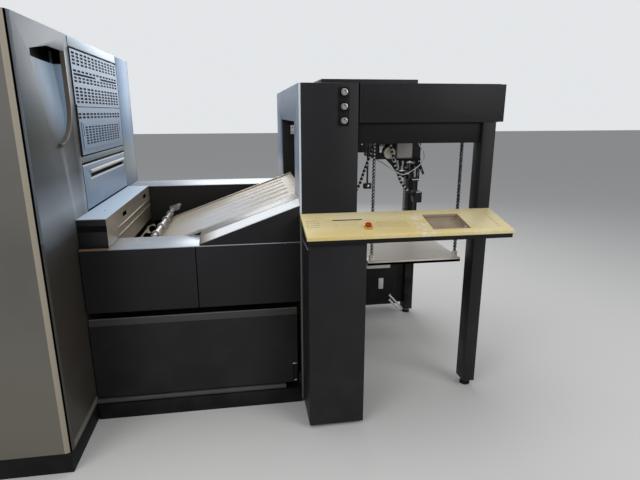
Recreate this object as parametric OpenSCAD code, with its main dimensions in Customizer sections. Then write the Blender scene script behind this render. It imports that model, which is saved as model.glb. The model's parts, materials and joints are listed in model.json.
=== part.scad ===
/* [Whole press] */
// Length of the printing unit along the press
unit_len = 960; // [860:10:1100]
// Length of the feed table between the unit and the feeder
table_len = 1168; // [1100:4:1300]
// Length of the feeder from its end panel to the end of its beam
feeder_len = 1148; // [1080:4:1280]
// Width of the press over its outer covers
press_w = 2090; // [2000:10:2300]
// Gap that parts two covers from each other
seam = 4; // [2:1:8]
// Thickness of the folded steel covers
cover_t = 20; // [12:1:26]

/* [Printing unit] */
// Height of the printing unit
unit_h = 2090; // [1950:10:2300]
// Height of the black plinth of the unit
plinth_h = 120; // [90:5:150]
// Depth that the plinth stands back behind the covers
plinth_inset = 6; // [2:1:30]
// Width of the operator's side cover
operator_w = 682; // [600:2:740]
// Width of the drive side cover
drive_w = 412; // [360:2:460]
// Radius of the upright corners of the side covers
corner_r = 34; // [10:1:60]
// Depth of the panel that holds the grab handle
grip_panel_t = 80; // [72:2:110]
// Height of the end panels' lower edge over the side covers' lower edge
panel_foot = 40; // [20:5:60]

/* [Grab handle] */
// Height of the hooded top of the scooped recess
recess_z = 2000; // [1950:5:2040]
// Height of the hooded part of the recess
hood_h = 62; // [50:1:80]
// Drop of the hood towards its outer end
hood_drop = 34; // [20:1:40]
// Width of the recess below the hood
recess_w = 410; // [340:10:440]
// Depth of the cavity under the hood of the recess
recess_d = 62; // [50:1:70]
// Depth of the scooped floor below the hood
scoop_d = 44; // [30:1:48]
// Length of the straight upper part of the handle
handle_len = 250; // [200:5:300]
// Radius of the handle's curved lower part
handle_r = 210; // [180:5:240]
// Distance of the handle from the edge of the middle guards
handle_in = 98; // [90:1:160]
// Thickness of the handle bar
handle_t = 16; // [10:1:20]
// Reach of the handle bar out of the end panel
handle_out = 14; // [8:1:24]

/* [Guards over the printing unit's end] */
// Height of the lower edge of the swinging guard
guard_low_z = 1173; // [1170:1:1180]
// Height of the swinging guard
guard_h = 246; // [200:2:260]
// Height of the dark strip over the swinging guard
strip_h = 40; // [30:1:60]
// Height of the framed vent guard
frame_guard_h = 258; // [220:2:280]
// Height of the upper vent guard
vent_guard_h = 300; // [240:2:320]
// Thickness of the fixed guards
guard_t = 25; // [24:1:34]
// Thickness of the swinging guard
swing_t = 16; // [14:1:17]
// Diameter of the hinge pins
pin_d = 8; // [6:0.5:9]
// Depth of the grip in the swinging guard
grip_d = 12; // [8:1:14]
// Height of the lip over the grip
lip_d = 23; // [16:1:24]
// Height of the grip's slot below the lip
grip_h = 27; // [20:1:32]
// Distance of the grip's slot below the swinging guard's upper edge
grip_drop = 57; // [50:1:70]
// Distance of the grip from the swinging guard's near end
grip_in = 132; // [100:2:160]
// Distance of the grip from the swinging guard's far end
grip_in_far = 42; // [34:2:80]

/* [Vent holes] */
// Thickness of the fixed guards' folded sheet
guard_sheet = 3; // [2:0.5:5]
// Length of one vent hole
vent_w = 48; // [36:1:56]
// Height of one vent hole
vent_h = 11; // [8:0.5:12]
// Distance from one vent hole to the next in its row
vent_pitch = 72; // [64:1:90]
// Distance of the outer rows from the upper vent guard's edges
vent_margin = 24; // [20:1:40]
// Plain sheet that is left at both ends of a row
vent_side = 28; // [20:1:40]
// Distance from one row to the next in the framed guard
frame_row = 18; // [16:1:22]
// Distance of the framed guard's first row below its upper edge
frame_margin = 37; // [30:1:40]
// Height of the hatch in the framed guard
hatch_h = 150; // [130:2:156]
// Distance of the hatch over the framed guard's lower edge
hatch_low = 29; // [20:1:34]
// Distance of the hatch from both ends of the framed guard
hatch_in = 66; // [50:2:90]
// Height by which the hatch stands out of the framed guard
hatch_t = 4; // [2:0.5:6]
// Width of the upright slots beside the hatch's rows
hatch_slot_w = 12; // [8:1:16]
// Height of the upright slots beside the hatch's rows
hatch_slot_h = 70; // [50:2:90]
// Distance of the upright slots from the hatch's ends
hatch_slot_in = 16; // [10:1:24]
// Height of one vent hole in the hatch
hatch_hole_h = 9; // [6:0.5:11]

/* [Feed table] */
// Distance of the table's front behind the operator's cover
front_setback = 430; // [380:5:480]
// Distance of the table's back before the drive side cover
back_setback = 95; // [60:5:140]
// Height of the silver rail along the table's front
rail_z = 1005; // [980:1:1020]
// Height of the silver rail along the table's back
back_rail_z = 1160; // [1140:1:1168]
// Thickness of the rails' sheet
rail_t = 5; // [3:1:8]
// Height of the upper side panels
side_panel_h = 351; // [320:1:370]
// Place of the seam between the two upper side panels
panel_seam_x = 597; // [500:1:700]
// Height of the lower edge of the hinged flap
flap_low_z = 140; // [130:1:160]
// Gap below the swinging flap
flap_gap = 12; // [10:1:16]
// Height of the hinged flap
flap_h = 470; // [430:1:480]
// Length of the hinged flap
flap_len = 1138; // [1000:2:1148]
// Diameter of the bar under the flap
foot_bar_d = 34; // [24:1:40]

/* [Infeed guard] */
// Reach of the guard box over the infeed
infeed_len = 151; // [120:1:180]
// Height of the end face of the guard box
infeed_h = 159; // [140:1:180]
// Distance of the guard box behind the table's front
infeed_in = 30; // [10:2:60]
// Drop of the guard box's inner part below the rail
infeed_skirt = 90; // [60:2:100]
// Length of one of the two slots in the guard box
infeed_slot_w = 100; // [60:2:140]
// Height of one slot in the guard box
infeed_slot_h = 28; // [20:1:40]
// Depth of the slots in the guard box
infeed_slot_d = 60; // [30:2:100]
// Distance of the slots from the ends of the guard box's inner part
infeed_slot_in = 185; // [120:5:260]
// Distance of the slots below the guard box's upper face
infeed_slot_drop = 38; // [30:1:50]
// Distance of the upper rib's lower edge below the slots' upper edges
infeed_rib_drop = 67; // [50:1:72]
// Height of one of the two ribs along the guard box
infeed_rib_h = 9; // [6:1:12]
// Reach of the ribs out of the guard box
infeed_rib_t = 4; // [2:0.5:8]
// Distance from one rib to the next
infeed_rib_pitch = 46; // [36:1:50]

/* [Feed board] */
// Distance of the board's far edge from the drive side wall
board_far_in = 174; // [150:2:200]
// Width of the board's wing over the sloped side cover
wing_w = 30; // [20:1:40]
// Slope of the feed board
board_slope = 19.7; // [17:0.1:20]
// Height of the board where it enters the feeder
board_top_z = 1240; // [1230:1:1250]
// Length of the feed board along its slope
board_len = 1080; // [1000:10:1090]
// Thickness of the feed board
board_t = 18; // [12:1:24]
// Width of one conveyor tape
tape_w = 40; // [25:1:60]
// Thickness of one conveyor tape
tape_t = 2; // [1:0.5:4]
// Length by which the board runs on into the feeder
board_tongue = 55; // [30:1:70]
// Width of the ridge along the board's far edge
ridge_w = 26; // [16:1:40]
// Height of the ridge along the board's far edge
ridge_h = 9; // [5:1:14]
// Length of the sloped side cover
slope_len = 548; // [480:4:560]
// Width of the bevel along the sloped side cover
bevel_w = 58; // [40:1:80]
// Drop of the bevel's outer edge below the board
bevel_d = 25; // [15:1:26]

/* [Wheel bar] */
// Distance of the wheel bar from the unit's end
wheel_bar_x = 338; // [300:2:360]
// Height of the wheel bar's axis over the board
bar_lift = 57; // [50:1:80]
// Diameter of the wheel bar
wheel_bar_d = 26; // [16:1:30]
// Diameter of the thinner ends of the wheel bar
bar_end_d = 16; // [10:1:20]
// Diameter of a clamp ring on the wheel bar
clamp_d = 46; // [38:1:50]
// Width of a clamp ring
clamp_w = 28; // [20:1:36]
// Length of the arm from the bar to a sheet wheel
arm_len = 95; // [70:1:110]
// Height of the arm's profile
arm_h = 16; // [10:1:20]
// Thickness of the arm
arm_t = 8; // [5:0.5:12]
// Diameter of a sheet wheel
wheel_d = 44; // [36:1:56]
// Width of a sheet wheel
wheel_w = 16; // [10:1:24]
// Diameter of a sheet wheel's axle
axle_d = 8; // [6:0.5:10]

/* [Feeder] */
// Height of the feeder
feeder_h = 1850; // [1800:5:1950]
// Width of the feeder over its posts
feeder_w = 1296; // [1240:2:1340]
// Length of the closed column beside the feed table
column_len = 320; // [280:5:340]
// Depth of the closed column
column_w = 235; // [200:5:245]
// Thickness of the feeder's end panel
end_panel_t = 10; // [6:1:14]
// Height of the beams over the pile
beam_h = 203; // [170:1:230]
// Thickness of the beams over the pile
beam_t = 100; // [80:2:110]
// Length of the cap on the end of a beam
beam_cap = 30; // [20:1:50]
// Height that the valance hangs below the beam
valance_h = 112; // [80:2:130]
// Length of the post along the press
post_len = 75; // [60:1:90]
// Depth of the post across the press
post_w = 105; // [90:1:110]
// Distance of the post from the end of the beam
post_in = 41; // [30:1:60]
// Height of the levelling feet
foot_h = 40; // [30:1:60]
// Diameter of the disc under a post
foot_d = 64; // [50:1:70]
// Thickness of the feeder's lid
lid_t = 16; // [8:1:24]
// Length of the low hood on the feeder's lid
hood_len = 580; // [500:10:620]
// Width of the low hood on the feeder's lid
hood_w = 700; // [600:10:760]
// Height of the low hood on the feeder's lid
lid_hood_h = 38; // [20:1:50]
// Distance of the hood on the lid from the feeder's end panel
hood_in = 168; // [140:2:200]

/* [Control desk] */
// Tilt of the desk towards the operator
desk_tilt = 12; // [8:0.5:15]
// Depth of the desk
desk_w = 295; // [270:1:320]
// Height of the desk's back edge
desk_z = 1163; // [1140:1:1180]
// Thickness of the desk's top
desk_top_t = 18; // [12:1:24]
// Thickness of the black tray below the desk's top
desk_tray_t = 26; // [20:1:34]
// Length of the pocket in the desk
pocket_len = 207; // [160:1:240]
// Width of the pocket in the desk
pocket_w = 185; // [140:1:200]
// Depth of the pocket in the desk
pocket_d = 36; // [30:1:38]
// Distance of the pocket from the desk's left end
pocket_x = 675; // [600:1:760]
// Distance of the pocket from the desk's back edge
pocket_y = 70; // [50:1:90]
// Length of the thin slot in the desk
slot_len = 161; // [120:1:180]
// Width of the thin slot in the desk
slot_w = 6; // [4:0.5:8]
// Depth of the thin slot in the desk
slot_d = 9; // [5:1:12]
// Distance of the thin slot from the desk's left end
slot_x = 163; // [120:1:190]
// Distance of the thin slot from the desk's back edge
slot_y = 98; // [80:1:120]
// Distance of the stop button from the desk's left end
stop_x = 333; // [300:1:360]
// Distance of the stop button from the desk's back edge
stop_y = 210; // [180:1:230]
// Length of the cabinet below the desk
cabinet_len = 302; // [260:1:320]
// Gap between the cabinet and the floor
cabinet_gap = 18; // [12:1:40]
// Diameter of the red stop button
stop_d = 34; // [26:1:40]
// Height of the red stop button's head
stop_h = 12; // [8:1:16]
// Height of the yellow base under the stop button
stop_base_h = 10; // [6:1:14]

/* [Air knobs] */
// Diameter of an air knob
knob_d = 34; // [26:1:38]
// Distance from one air knob to the next
knob_pitch = 72; // [60:1:90]
// Height of the middle air knob
knob_z = 1731; // [1700:1:1740]
// Distance of the air knobs from the feeder's end panel
knob_in = 239; // [200:1:260]
// Length of an air knob
knob_len = 18; // [12:1:24]
// Width of the plate behind the air knobs
knob_plate_w = 56; // [52:1:70]
// Thickness of the plate behind the air knobs
knob_plate_t = 4; // [2:0.5:5]
// Width of the wall of the ring round an air knob
ring_w = 3; // [2:0.5:4]
// Height of the ring round an air knob
ring_h = 7; // [4:1:12]

/* [Pile lift] */
// Height of the lifting plate's upper face in the photograph's pose
plate_z = 830; // [760:5:850]
// Length of the lifting plate
plate_len = 590; // [540:5:600]
// Width of the lifting plate
plate_w = 1056; // [1000:4:1060]
// Thickness of the lifting plate
plate_t = 26; // [16:1:40]
// Width of a lifting chain
chain_w = 14; // [10:1:20]
// Distance of the chains from the inner faces of the beams
chain_in = 44; // [30:1:60]
// Distance of the chains from the ends of the lifting plate
chain_end = 30; // [20:1:60]
// Height of the lugs that hold the chains on the lifting plate
lug_h = 36; // [20:1:50]
// Length of a lug along the press
lug_len = 30; // [20:1:40]
// Width of a lug
lug_w = 18; // [12:1:24]

/* [Suction head] */
// Distance of the head's housing from the feeder's end panel
head_in = 679; // [640:1:700]
// Length of the head's housing along the press
head_len = 108; // [90:1:120]
// Width of the head across the press
head_w = 380; // [340:2:420]
// Distance of the head's front from the middle of the feeder
head_front = 198; // [180:1:220]
// Height of the housing's lower face
head_z = 1412; // [1400:1:1420]
// Height of the housing's upper face
head_top_z = 1560; // [1550:1:1580]
// Length of the block beside the housing
side_block_len = 60; // [40:1:70]
// Length of the gear block before the housing
gear_len = 129; // [100:1:140]
// Diameter of the disc on the gear block
disc_d = 76; // [60:1:84]
// Thickness of the disc
disc_t = 16; // [10:1:20]
// Thickness of the two lever plates under the housing
lever_t = 12; // [8:1:16]
// Diameter of a sucker's piston
piston_d = 22; // [16:1:26]
// Height of a sucker's lower edge
sucker_z = 1262; // [1255:1:1275]
// Diameter of a sucker's rubber cup
sucker_d = 34; // [28:1:40]
// Number of suckers across the head
suckers = 4; // [2:1:5]
// Thickness of the shelf that the hoses come out of
shelf_t = 15; // [10:1:20]
// Reach of the shelf before the head's front
shelf_out = 70; // [66:1:80]
// Diameter of the two bars that carry the head
head_bar_d = 36; // [26:1:44]
// Side of the upright stop bar behind the sheets
stop_bar = 10; // [8:0.5:14]
// Height of the stop bar's lower end
stop_bar_z = 1062; // [1060:1:1075]

/* [Hoses] */
// Diameter of the two ribbed hoses
hose_d = 18; // [12:1:20]
// Diameter of the thin air line
line_d = 7; // [5:0.5:8]

/* [Hidden] */
$fn = 48;

press_len = unit_len + table_len + feeder_len;
x_wall = -press_len / 2;
x_face = x_wall + unit_len;
x_feed = x_face + table_len;
x_end = press_len / 2;
y_near = -press_w / 2;
y_far = press_w / 2;
y_side_a = y_near + operator_w;
y_side_b = y_far - drive_w;
y_front = y_near + front_setback;
y_back = y_far - back_setback;
y_feed_back = y_front + feeder_w;
y_mid = y_front + feeder_w / 2;
// Small working clearance between pieces of one body
fit = 0.5;
// Overlap of cutting bodies past the face that they cut
past = 1;
// Clearance round a piece that swings
swing_gap = 10;
// Clearance between a hinge pin and its bore, on the radius
pin_gap = 0.3;
// Length of a hinge pin inside its bore
pin_reach = 26;
// Depth of a hinge pin's bore
bore_len = 30;
// Clearance under the low end of the feed board
board_gap = 8;
// Clearance between the lifting plate and the posts
plate_gap = 22;
// Reach of the covers below the plinth's upper face
cover_skirt = 10;
// Distance of the flap's end from the printing unit
flap_in = 6;
guard_x = x_face - guard_t;
cover_bottom = plinth_h - cover_skirt;
panel_z = cover_bottom + panel_foot;
x_post = x_end - post_in - post_len;
beam_z = feeder_h - beam_h;
guard_top_z = guard_low_z + guard_h;
strip_z = guard_top_z + swing_gap;
hinge_z = guard_top_z - swing_t / 2;
hinge_x = x_face - swing_t / 2;
flap_x = x_face + flap_in;
flap_hinge_y = y_front + cover_t / 2;
flap_hinge_z = flap_low_z + cover_t / 2;
table_plinth_z = flap_low_z - flap_gap - foot_bar_d - fit;
frame_guard_z = strip_z + strip_h + seam;
vent_guard_z = frame_guard_z + frame_guard_h + seam;
cap_z = vent_guard_z + vent_guard_h + seam;
panel_low_z = rail_z - rail_t - side_panel_h;
y_board_near = y_side_a - wing_w;
y_board_far = y_side_b - board_far_in;
y_board = (y_board_near + y_board_far) / 2;
board_w = y_board_far - y_board_near;
y_desk = y_front - fit;
x_desk = x_feed;
x_desk_end = x_post + post_len;

// A block between two opposite corners
module block(low, high) {
    translate(low) cube(high - low);
}

// A profile drawn in X and Z that runs from y0 to y1
module side_profile(points, y0, y1) {
    translate([0, y1, 0]) rotate([90, 0, 0]) linear_extrude(y1 - y0) polygon(points);
}

// Flat shapes drawn in Y and Z that run from x0 to x1
module face_profile(x0, x1) {
    translate([x0, 0, 0]) rotate([90, 0, 90]) linear_extrude(x1 - x0) children();
}

// A round bar along Y
module bar_y(x, z, d, y0, y1) {
    translate([x, y1, z]) rotate([90, 0, 0]) cylinder(h = y1 - y0, d = d);
}

// A round bar along X
module bar_x(y, z, d, x0, x1) {
    translate([x0, y, z]) rotate([0, 90, 0]) cylinder(h = x1 - x0, d = d);
}

// An upright block whose two outer corners are rounded
module rounded_cover(x0, x1, y0, y1, z0, z1, r) {
    translate([0, 0, z0]) linear_extrude(z1 - z0) union() {
        translate([x0, y0 + r]) square([x1 - x0, y1 - y0 - r]);
        translate([x0 + r, y0]) square([x1 - x0 - 2 * r, r]);
        translate([x0 + r, y0 + r]) circle(r);
        translate([x1 - r, y0 + r]) circle(r);
    }
}

module unit_plinth() {
    color([0.05, 0.05, 0.05])
        block([x_wall + cover_t + seam, y_near + plinth_inset, 0],
              [x_face - plinth_inset, y_far - plinth_inset, cover_bottom - fit]);
}

module unit_housing() {
    color([0.2, 0.2, 0.22])
        block([x_wall + cover_t + fit, y_side_a + fit, cover_bottom],
              [guard_x - fit, y_side_b - fit, unit_h - cover_t]);
}

module operator_cover() {
    color([0.42, 0.4, 0.37]) difference() {
        rounded_cover(x_wall + cover_t + fit, x_face, y_near, y_side_a, cover_bottom, unit_h, corner_r);
        block([x_face - grip_panel_t - fit, y_near + corner_r, panel_z],
              [x_face + past, y_side_a + past, unit_h + past]);
    }
}

y_handle = y_side_a - handle_in;
hood_low_z = recess_z - hood_h;
scoop_low_z = recess_z - handle_len - handle_r;
// Lean of the scoop's deepest line towards the handle
scoop_lean = atan(handle_r / (hood_low_z - scoop_low_z));
scoop_run = norm([handle_r, hood_low_z - scoop_low_z]);
// Angle at which the scoop's deepest line goes into the panel
scoop_rise = atan(scoop_d / scoop_run);
// Length of the deepest line below the recess's outer edge
scoop_far = scoop_run - recess_w * sin(scoop_lean);
// Radius at which the scoop's edge is as wide as the recess below the hood
scoop_r = pow(recess_w * cos(scoop_lean), 2) / (2 * tan(scoop_rise) * scoop_far);
hood_r = recess_w * recess_w / (2 * recess_d);
// Clear height before the panel in which the handle stands
handle_room = handle_out + swing_gap;

// The handle's outer edge in Y and Z, moved in by a distance
function handle_edge(inset) = [
    for (a = [0 : 10 : 90]) let (r = handle_r - inset)
        [y_handle - handle_r + r * cos(a), recess_z - handle_len - r * sin(a)]
];

// The scoop: a wide cylinder whose axis leans to the handle and rises out of the panel
module scoop() {
    outer = y_handle - recess_w - seam;
    upper = [[outer, scoop_low_z], [outer, hood_low_z], [y_handle, hood_low_z]];
    intersection() {
        translate([x_face, y_handle - handle_r, scoop_low_z])
            rotate([-scoop_lean, 0, 0]) rotate([0, -scoop_rise, 0])
                translate([scoop_r, 0, -scoop_run]) cylinder(h = 3 * scoop_run, r = scoop_r, $fn = 360);
        face_profile(x_face - recess_d - past, x_face + handle_room) polygon(concat(upper, handle_edge(0)));
    }
}

// The space under the hood: an upright cylinder below a top edge that drops outwards
module hood_space() {
    intersection() {
        translate([x_face - recess_d + hood_r, y_handle, hood_low_z - fit])
            cylinder(h = hood_h + past, r = hood_r, $fn = 360);
        face_profile(x_face - recess_d - past, x_face + handle_room) polygon([
            [y_handle - recess_w, hood_low_z - fit],
            [y_handle, hood_low_z - fit],
            [y_handle, recess_z],
            [y_handle - recess_w / 2, recess_z],
            [y_handle - recess_w, recess_z - hood_drop]
        ]);
    }
}

module near_end_panel() {
    color([0.6, 0.64, 0.7]) difference() {
        block([x_face - grip_panel_t, y_near + corner_r + fit, panel_z + fit],
              [x_face, y_side_a - seam / 2, unit_h - fit]);
        scoop();
        hood_space();
    }
}

module grab_handle() {
    inner = handle_edge(handle_t);
    outline = concat([[y_handle - fit, recess_z - fit]], handle_edge(fit),
                     [for (i = [len(inner) - 1 : -1 : 0]) inner[i]],
                     [[y_handle - handle_t, recess_z - fit]]);
    color([0.25, 0.23, 0.21]) intersection() {
        translate([fit, 0, 0]) union() {
            scoop();
            hood_space();
        }
        face_profile(x_face - scoop_d, x_face + handle_out) polygon(outline);
    }
}

module drive_cover() {
    color([0.42, 0.4, 0.37]) difference() {
        mirror([0, 1, 0])
            rounded_cover(x_wall + cover_t + fit, x_face, -y_far, -y_side_b, cover_bottom, unit_h, corner_r);
        block([x_face - cover_t - fit, y_side_b - past, panel_z],
              [x_face + past, y_far - corner_r, unit_h + past]);
    }
}

module far_end_panel() {
    color([0.6, 0.64, 0.7])
        block([x_face - cover_t, y_side_b + seam / 2, panel_z + fit],
              [x_face, y_far - corner_r - fit, unit_h - fit]);
}

module top_cap() {
    color([0.5, 0.55, 0.6]) {
        block([x_wall + cover_t + fit, y_side_a + seam / 2, unit_h - cover_t + fit],
              [guard_x - fit, y_side_b - seam / 2, unit_h]);
        block([guard_x, y_side_a + seam / 2, cap_z], [x_face, y_side_b - seam / 2, unit_h]);
    }
}

guard_y0 = y_side_a + seam / 2;
guard_y1 = y_side_b - seam / 2;
guard_y = (guard_y0 + guard_y1) / 2;

// A fixed guard folded from sheet, its holes are drawn by the children in Y and Z
module guard_tray(z0, z1) {
    difference() {
        block([guard_x, guard_y0, z0], [x_face, guard_y1, z1]);
        block([guard_x - past, guard_y0 + guard_sheet, z0 + guard_sheet],
              [x_face - guard_sheet, guard_y1 - guard_sheet, z1 - guard_sheet]);
        face_profile(x_face - guard_sheet - past, x_face + hatch_t + past) children();
    }
}

// A row of equal holes round the middle of the guards
module vent_row(z, count, pitch, width, height) {
    for (i = [0 : count - 1])
        translate([guard_y + (i - (count - 1) / 2) * pitch, z]) square([width, height], center = true);
}

vent_count = floor((guard_y1 - guard_y0 - 2 * vent_side + vent_pitch - vent_w) / vent_pitch);
// Rows stand in groups of four with one left out between them, the lowest group has five
vent_places = 14;
vent_group = 5;
// Place of the row that is made of two long slots
long_row = 6;
vent_row_pitch = (vent_guard_h - 2 * vent_margin) / vent_places;

module upper_vent_guard() {
    top = vent_guard_z + vent_guard_h - vent_margin;
    land = vent_pitch - vent_w;
    long_w = floor((vent_count - 1) / 2) * vent_pitch - land;
    color([0.5, 0.55, 0.6]) guard_tray(vent_guard_z, vent_guard_z + vent_guard_h)
        for (row = [0 : vent_places]) {
            z = top - row * vent_row_pitch;
            if (row == long_row)
                vent_row(z, 2, vent_count * vent_pitch - land - long_w, long_w, vent_h);
            else if ((row + 1) % vent_group != 0 || row == vent_places)
                vent_row(z, vent_count, vent_pitch, vent_w, vent_h);
        }
}

hatch_z0 = frame_guard_z + hatch_low;
hatch_z1 = hatch_z0 + hatch_h;
hatch_y0 = guard_y0 + hatch_in;
hatch_y1 = guard_y1 - hatch_in;
hatch_rows = 7;
hatch_count = 12;
hatch_pitch = (hatch_y1 - hatch_y0 - 2 * (hatch_slot_in + hatch_slot_w)) / (hatch_count + 1 / 2);
hatch_row_pitch = hatch_h / (hatch_rows + 3);

module framed_vent_guard() {
    top = frame_guard_z + frame_guard_h - frame_margin;
    slot_z = hatch_z1 - hatch_slot_in / 2 - hatch_slot_h;
    color([0.5, 0.55, 0.6]) {
        guard_tray(frame_guard_z, frame_guard_z + frame_guard_h) {
            for (row = [0 : 1])
                vent_row(top - row * frame_row, vent_count, vent_pitch, vent_w, vent_h);
            translate([hatch_y0 + guard_sheet, hatch_z0 + guard_sheet])
                square([hatch_y1 - hatch_y0 - 2 * guard_sheet, hatch_h - 2 * guard_sheet]);
        }
        difference() {
            block([x_face - guard_sheet, hatch_y0, hatch_z0], [x_face + hatch_t, hatch_y1, hatch_z1]);
            face_profile(x_face - guard_sheet - past, x_face + hatch_t + past) {
                for (row = [0 : hatch_rows - 1])
                    vent_row(hatch_z1 - (row + 2) * hatch_row_pitch, hatch_count, hatch_pitch,
                             hatch_pitch * vent_w / vent_pitch, hatch_hole_h);
                for (y = [hatch_y0 + hatch_slot_in, hatch_y1 - hatch_slot_in - hatch_slot_w])
                    translate([y, slot_z]) square([hatch_slot_w, hatch_slot_h]);
            }
        }
    }
}

module guard_strip() {
    color([0.15, 0.16, 0.18]) block([guard_x, guard_y0, strip_z], [x_face, guard_y1, strip_z + strip_h]);
}

module swing_guard() {
    y0 = y_side_a + seam;
    y1 = y_side_b - seam;
    slot_top = guard_top_z - grip_drop;
    color([0.5, 0.55, 0.6]) {
        difference() {
            block([x_face - swing_t, y0, guard_low_z], [x_face, y1, guard_top_z]);
            block([x_face - grip_d, y0 + grip_in, slot_top - grip_h],
                  [x_face + past, y1 - grip_in_far, slot_top]);
            bar_y(hinge_x, hinge_z, pin_d + 2 * pin_gap, y0 - past, y0 + bore_len);
            bar_y(hinge_x, hinge_z, pin_d + 2 * pin_gap, y1 - bore_len, y1 + past);
        }
        bar_y(x_face - lip_d / 6, slot_top + lip_d / 2, lip_d, y0 + grip_in, y1 - grip_in_far);
    }
}

module guard_hinges() {
    color([0.3, 0.3, 0.32]) {
        bar_y(hinge_x, hinge_z, pin_d, guard_y0 - seam + fit, y_side_a + seam + pin_reach);
        bar_y(hinge_x, hinge_z, pin_d, y_side_b - seam - pin_reach, guard_y1 + seam - fit);
    }
}

module coupling_wall() {
    color([0.35, 0.35, 0.36])
        block([x_wall, y_near + corner_r, 0], [x_wall + cover_t, y_far - corner_r, unit_h]);
}

module infeed_guard() {
    top = rail_z + infeed_h;
    x1 = x_face + infeed_len;
    slot_top = top - infeed_slot_drop;
    rib_z = slot_top - infeed_rib_drop;
    color([0.45, 0.48, 0.52]) {
        difference() {
            union() {
                block([x_face + fit, y_front + infeed_in, rail_z + fit], [x1, y_side_b - fit, top]);
                block([x_face + fit, y_side_a + fit, rail_z - infeed_skirt],
                      [x1, y_side_b - fit, rail_z + past]);
            }
            for (y = [y_side_a + infeed_slot_in, y_side_b - infeed_slot_in])
                block([x1 - infeed_slot_d, y - infeed_slot_w / 2, slot_top - infeed_slot_h],
                      [x1 + past, y + infeed_slot_w / 2, slot_top]);
        }
        for (i = [0 : 1])
            block([x1 - past, y_side_a + fit, rib_z - i * infeed_rib_pitch],
                  [x1 + infeed_rib_t, y_side_b - fit, rib_z - i * infeed_rib_pitch + infeed_rib_h]);
    }
}

module table_plinth() {
    color([0.05, 0.05, 0.05])
        block([x_face + fit, y_front, 0], [x_feed - fit, y_back - cover_t, table_plinth_z]);
}

// Height of the feed board's upper face at a place along the press
function board_z(x) = board_top_z - (x_feed - x) * tan(board_slope);

// Cut that the bed's wedge stands back from the board's edges
bed_in = 20;

module table_bed() {
    x0 = x_face + fit;
    x1 = x_feed - fit;
    deck = board_top_z - board_len * sin(board_slope) - board_t * cos(board_slope) - board_gap;
    support = board_top_z - board_t / cos(board_slope) - fit;
    foot = x_feed - (support - deck) / tan(board_slope);
    color([0.08, 0.08, 0.085]) {
        block([x0, y_side_a + fit, table_plinth_z + fit], [x1, y_side_b + seam / 2 - fit, deck]);
        side_profile([[x1, deck - past], [x1, support], [foot, deck], [foot, deck - past]],
                     y_side_a + fit, y_board_far - bed_in);
    }
}

module side_panel(x0, x1) {
    color([0.14, 0.14, 0.15])
        block([x0, y_front, panel_low_z], [x1, y_side_a, rail_z - rail_t - fit]);
}

module side_panel_left() {
    side_panel(x_face + seam, x_face + panel_seam_x - seam / 2);
}

module side_panel_right() {
    side_panel(x_face + panel_seam_x + seam / 2, x_feed - fit);
}

module front_rail() {
    color([0.7, 0.73, 0.78])
        block([x_face + seam, y_front, rail_z - rail_t], [x_feed - fit, y_side_a, rail_z]);
}

// Places children on the sloped board, X runs down the slope from the feeder
module on_board() {
    translate([x_feed - fit, y_board, board_top_z]) rotate([0, -board_slope, 0]) mirror([1, 0, 0])
        children();
}

// A profile across the board, in Y from the board's middle and in height over it, cut at two places in X
module slope_profile(points, x0, x1) {
    intersection() {
        on_board() translate([-board_tongue * 2, 0, 0]) rotate([90, 0, 90])
            linear_extrude(board_len + board_tongue * 2) polygon(points);
        block([x0, y_near, rail_z + fit], [x1, y_far, unit_h]);
    }
}

// The sloped side cover's places in Y from the board's middle
slope_out = y_front - y_board;
slope_in = y_board_near - seam - y_board;
slope_wall = y_side_a - y_board;
x_slope = x_feed - slope_len;

module slope_cover() {
    color([0.14, 0.14, 0.15]) slope_profile([
        [slope_out, -unit_h],
        [slope_wall, -unit_h],
        [slope_wall, -board_t - fit],
        [slope_in, -board_t - fit],
        [slope_in, -rail_t - fit],
        [slope_out + bevel_w, -rail_t - fit],
        [slope_out, -rail_t - fit - bevel_d]
    ], x_slope, x_feed - fit);
}

module slope_plate() {
    color([0.7, 0.73, 0.78]) slope_profile([
        [slope_out, -rail_t - bevel_d],
        [slope_out + bevel_w, -rail_t],
        [slope_in, -rail_t],
        [slope_in, 0],
        [slope_out + bevel_w, 0],
        [slope_out, -bevel_d]
    ], x_slope, x_feed - fit);
}

module front_flap() {
    y1 = y_front + cover_t;
    bend = 1.5 * cover_t;
    bore = pin_d + 2 * pin_gap;
    color([0.15, 0.15, 0.16]) difference() {
        face_profile(flap_x, flap_x + flap_len) polygon([
            [y_front, flap_low_z],
            [y1, flap_low_z],
            [y1, flap_low_z + flap_h],
            [y_front + cover_t / 2, flap_low_z + flap_h],
            [y_front, flap_low_z + flap_h - bend]
        ]);
        bar_x(flap_hinge_y, flap_hinge_z, bore, flap_x - past, flap_x + bore_len);
        bar_x(flap_hinge_y, flap_hinge_z, bore, flap_x + flap_len - bore_len, flap_x + flap_len + past);
    }
}

// Gap between the flap's end and the bracket of its hinge pin
bracket_gap = 7;
// Reach of the bracket above and below the flap's lower edge
bracket_up = 50;
bracket_down = 10;

module flap_hinges() {
    bracket_x = flap_x + flap_len + bracket_gap;
    color([0.05, 0.05, 0.05]) {
        bar_x(flap_hinge_y, flap_hinge_z, pin_d, x_face + fit, flap_x + pin_reach);
        bar_x(flap_hinge_y, flap_hinge_z, pin_d, flap_x + flap_len - pin_reach, bracket_x + past);
        block([bracket_x, y_front, flap_low_z - bracket_down],
              [x_feed - fit, y_front + 2 * cover_t, flap_low_z + bracket_up]);
    }
}

// Distance of the foot bar's end from the flap's end
foot_bar_in = 66;

module foot_bar() {
    color([0.1, 0.1, 0.1])
        bar_x(y_front + foot_bar_d / 2, flap_low_z - foot_bar_d / 2 - flap_gap, foot_bar_d,
              x_face + fit, x_face + flap_len - foot_bar_in);
}

// Number of the door panels that the seams on the drive side part
back_doors = 3;

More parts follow.
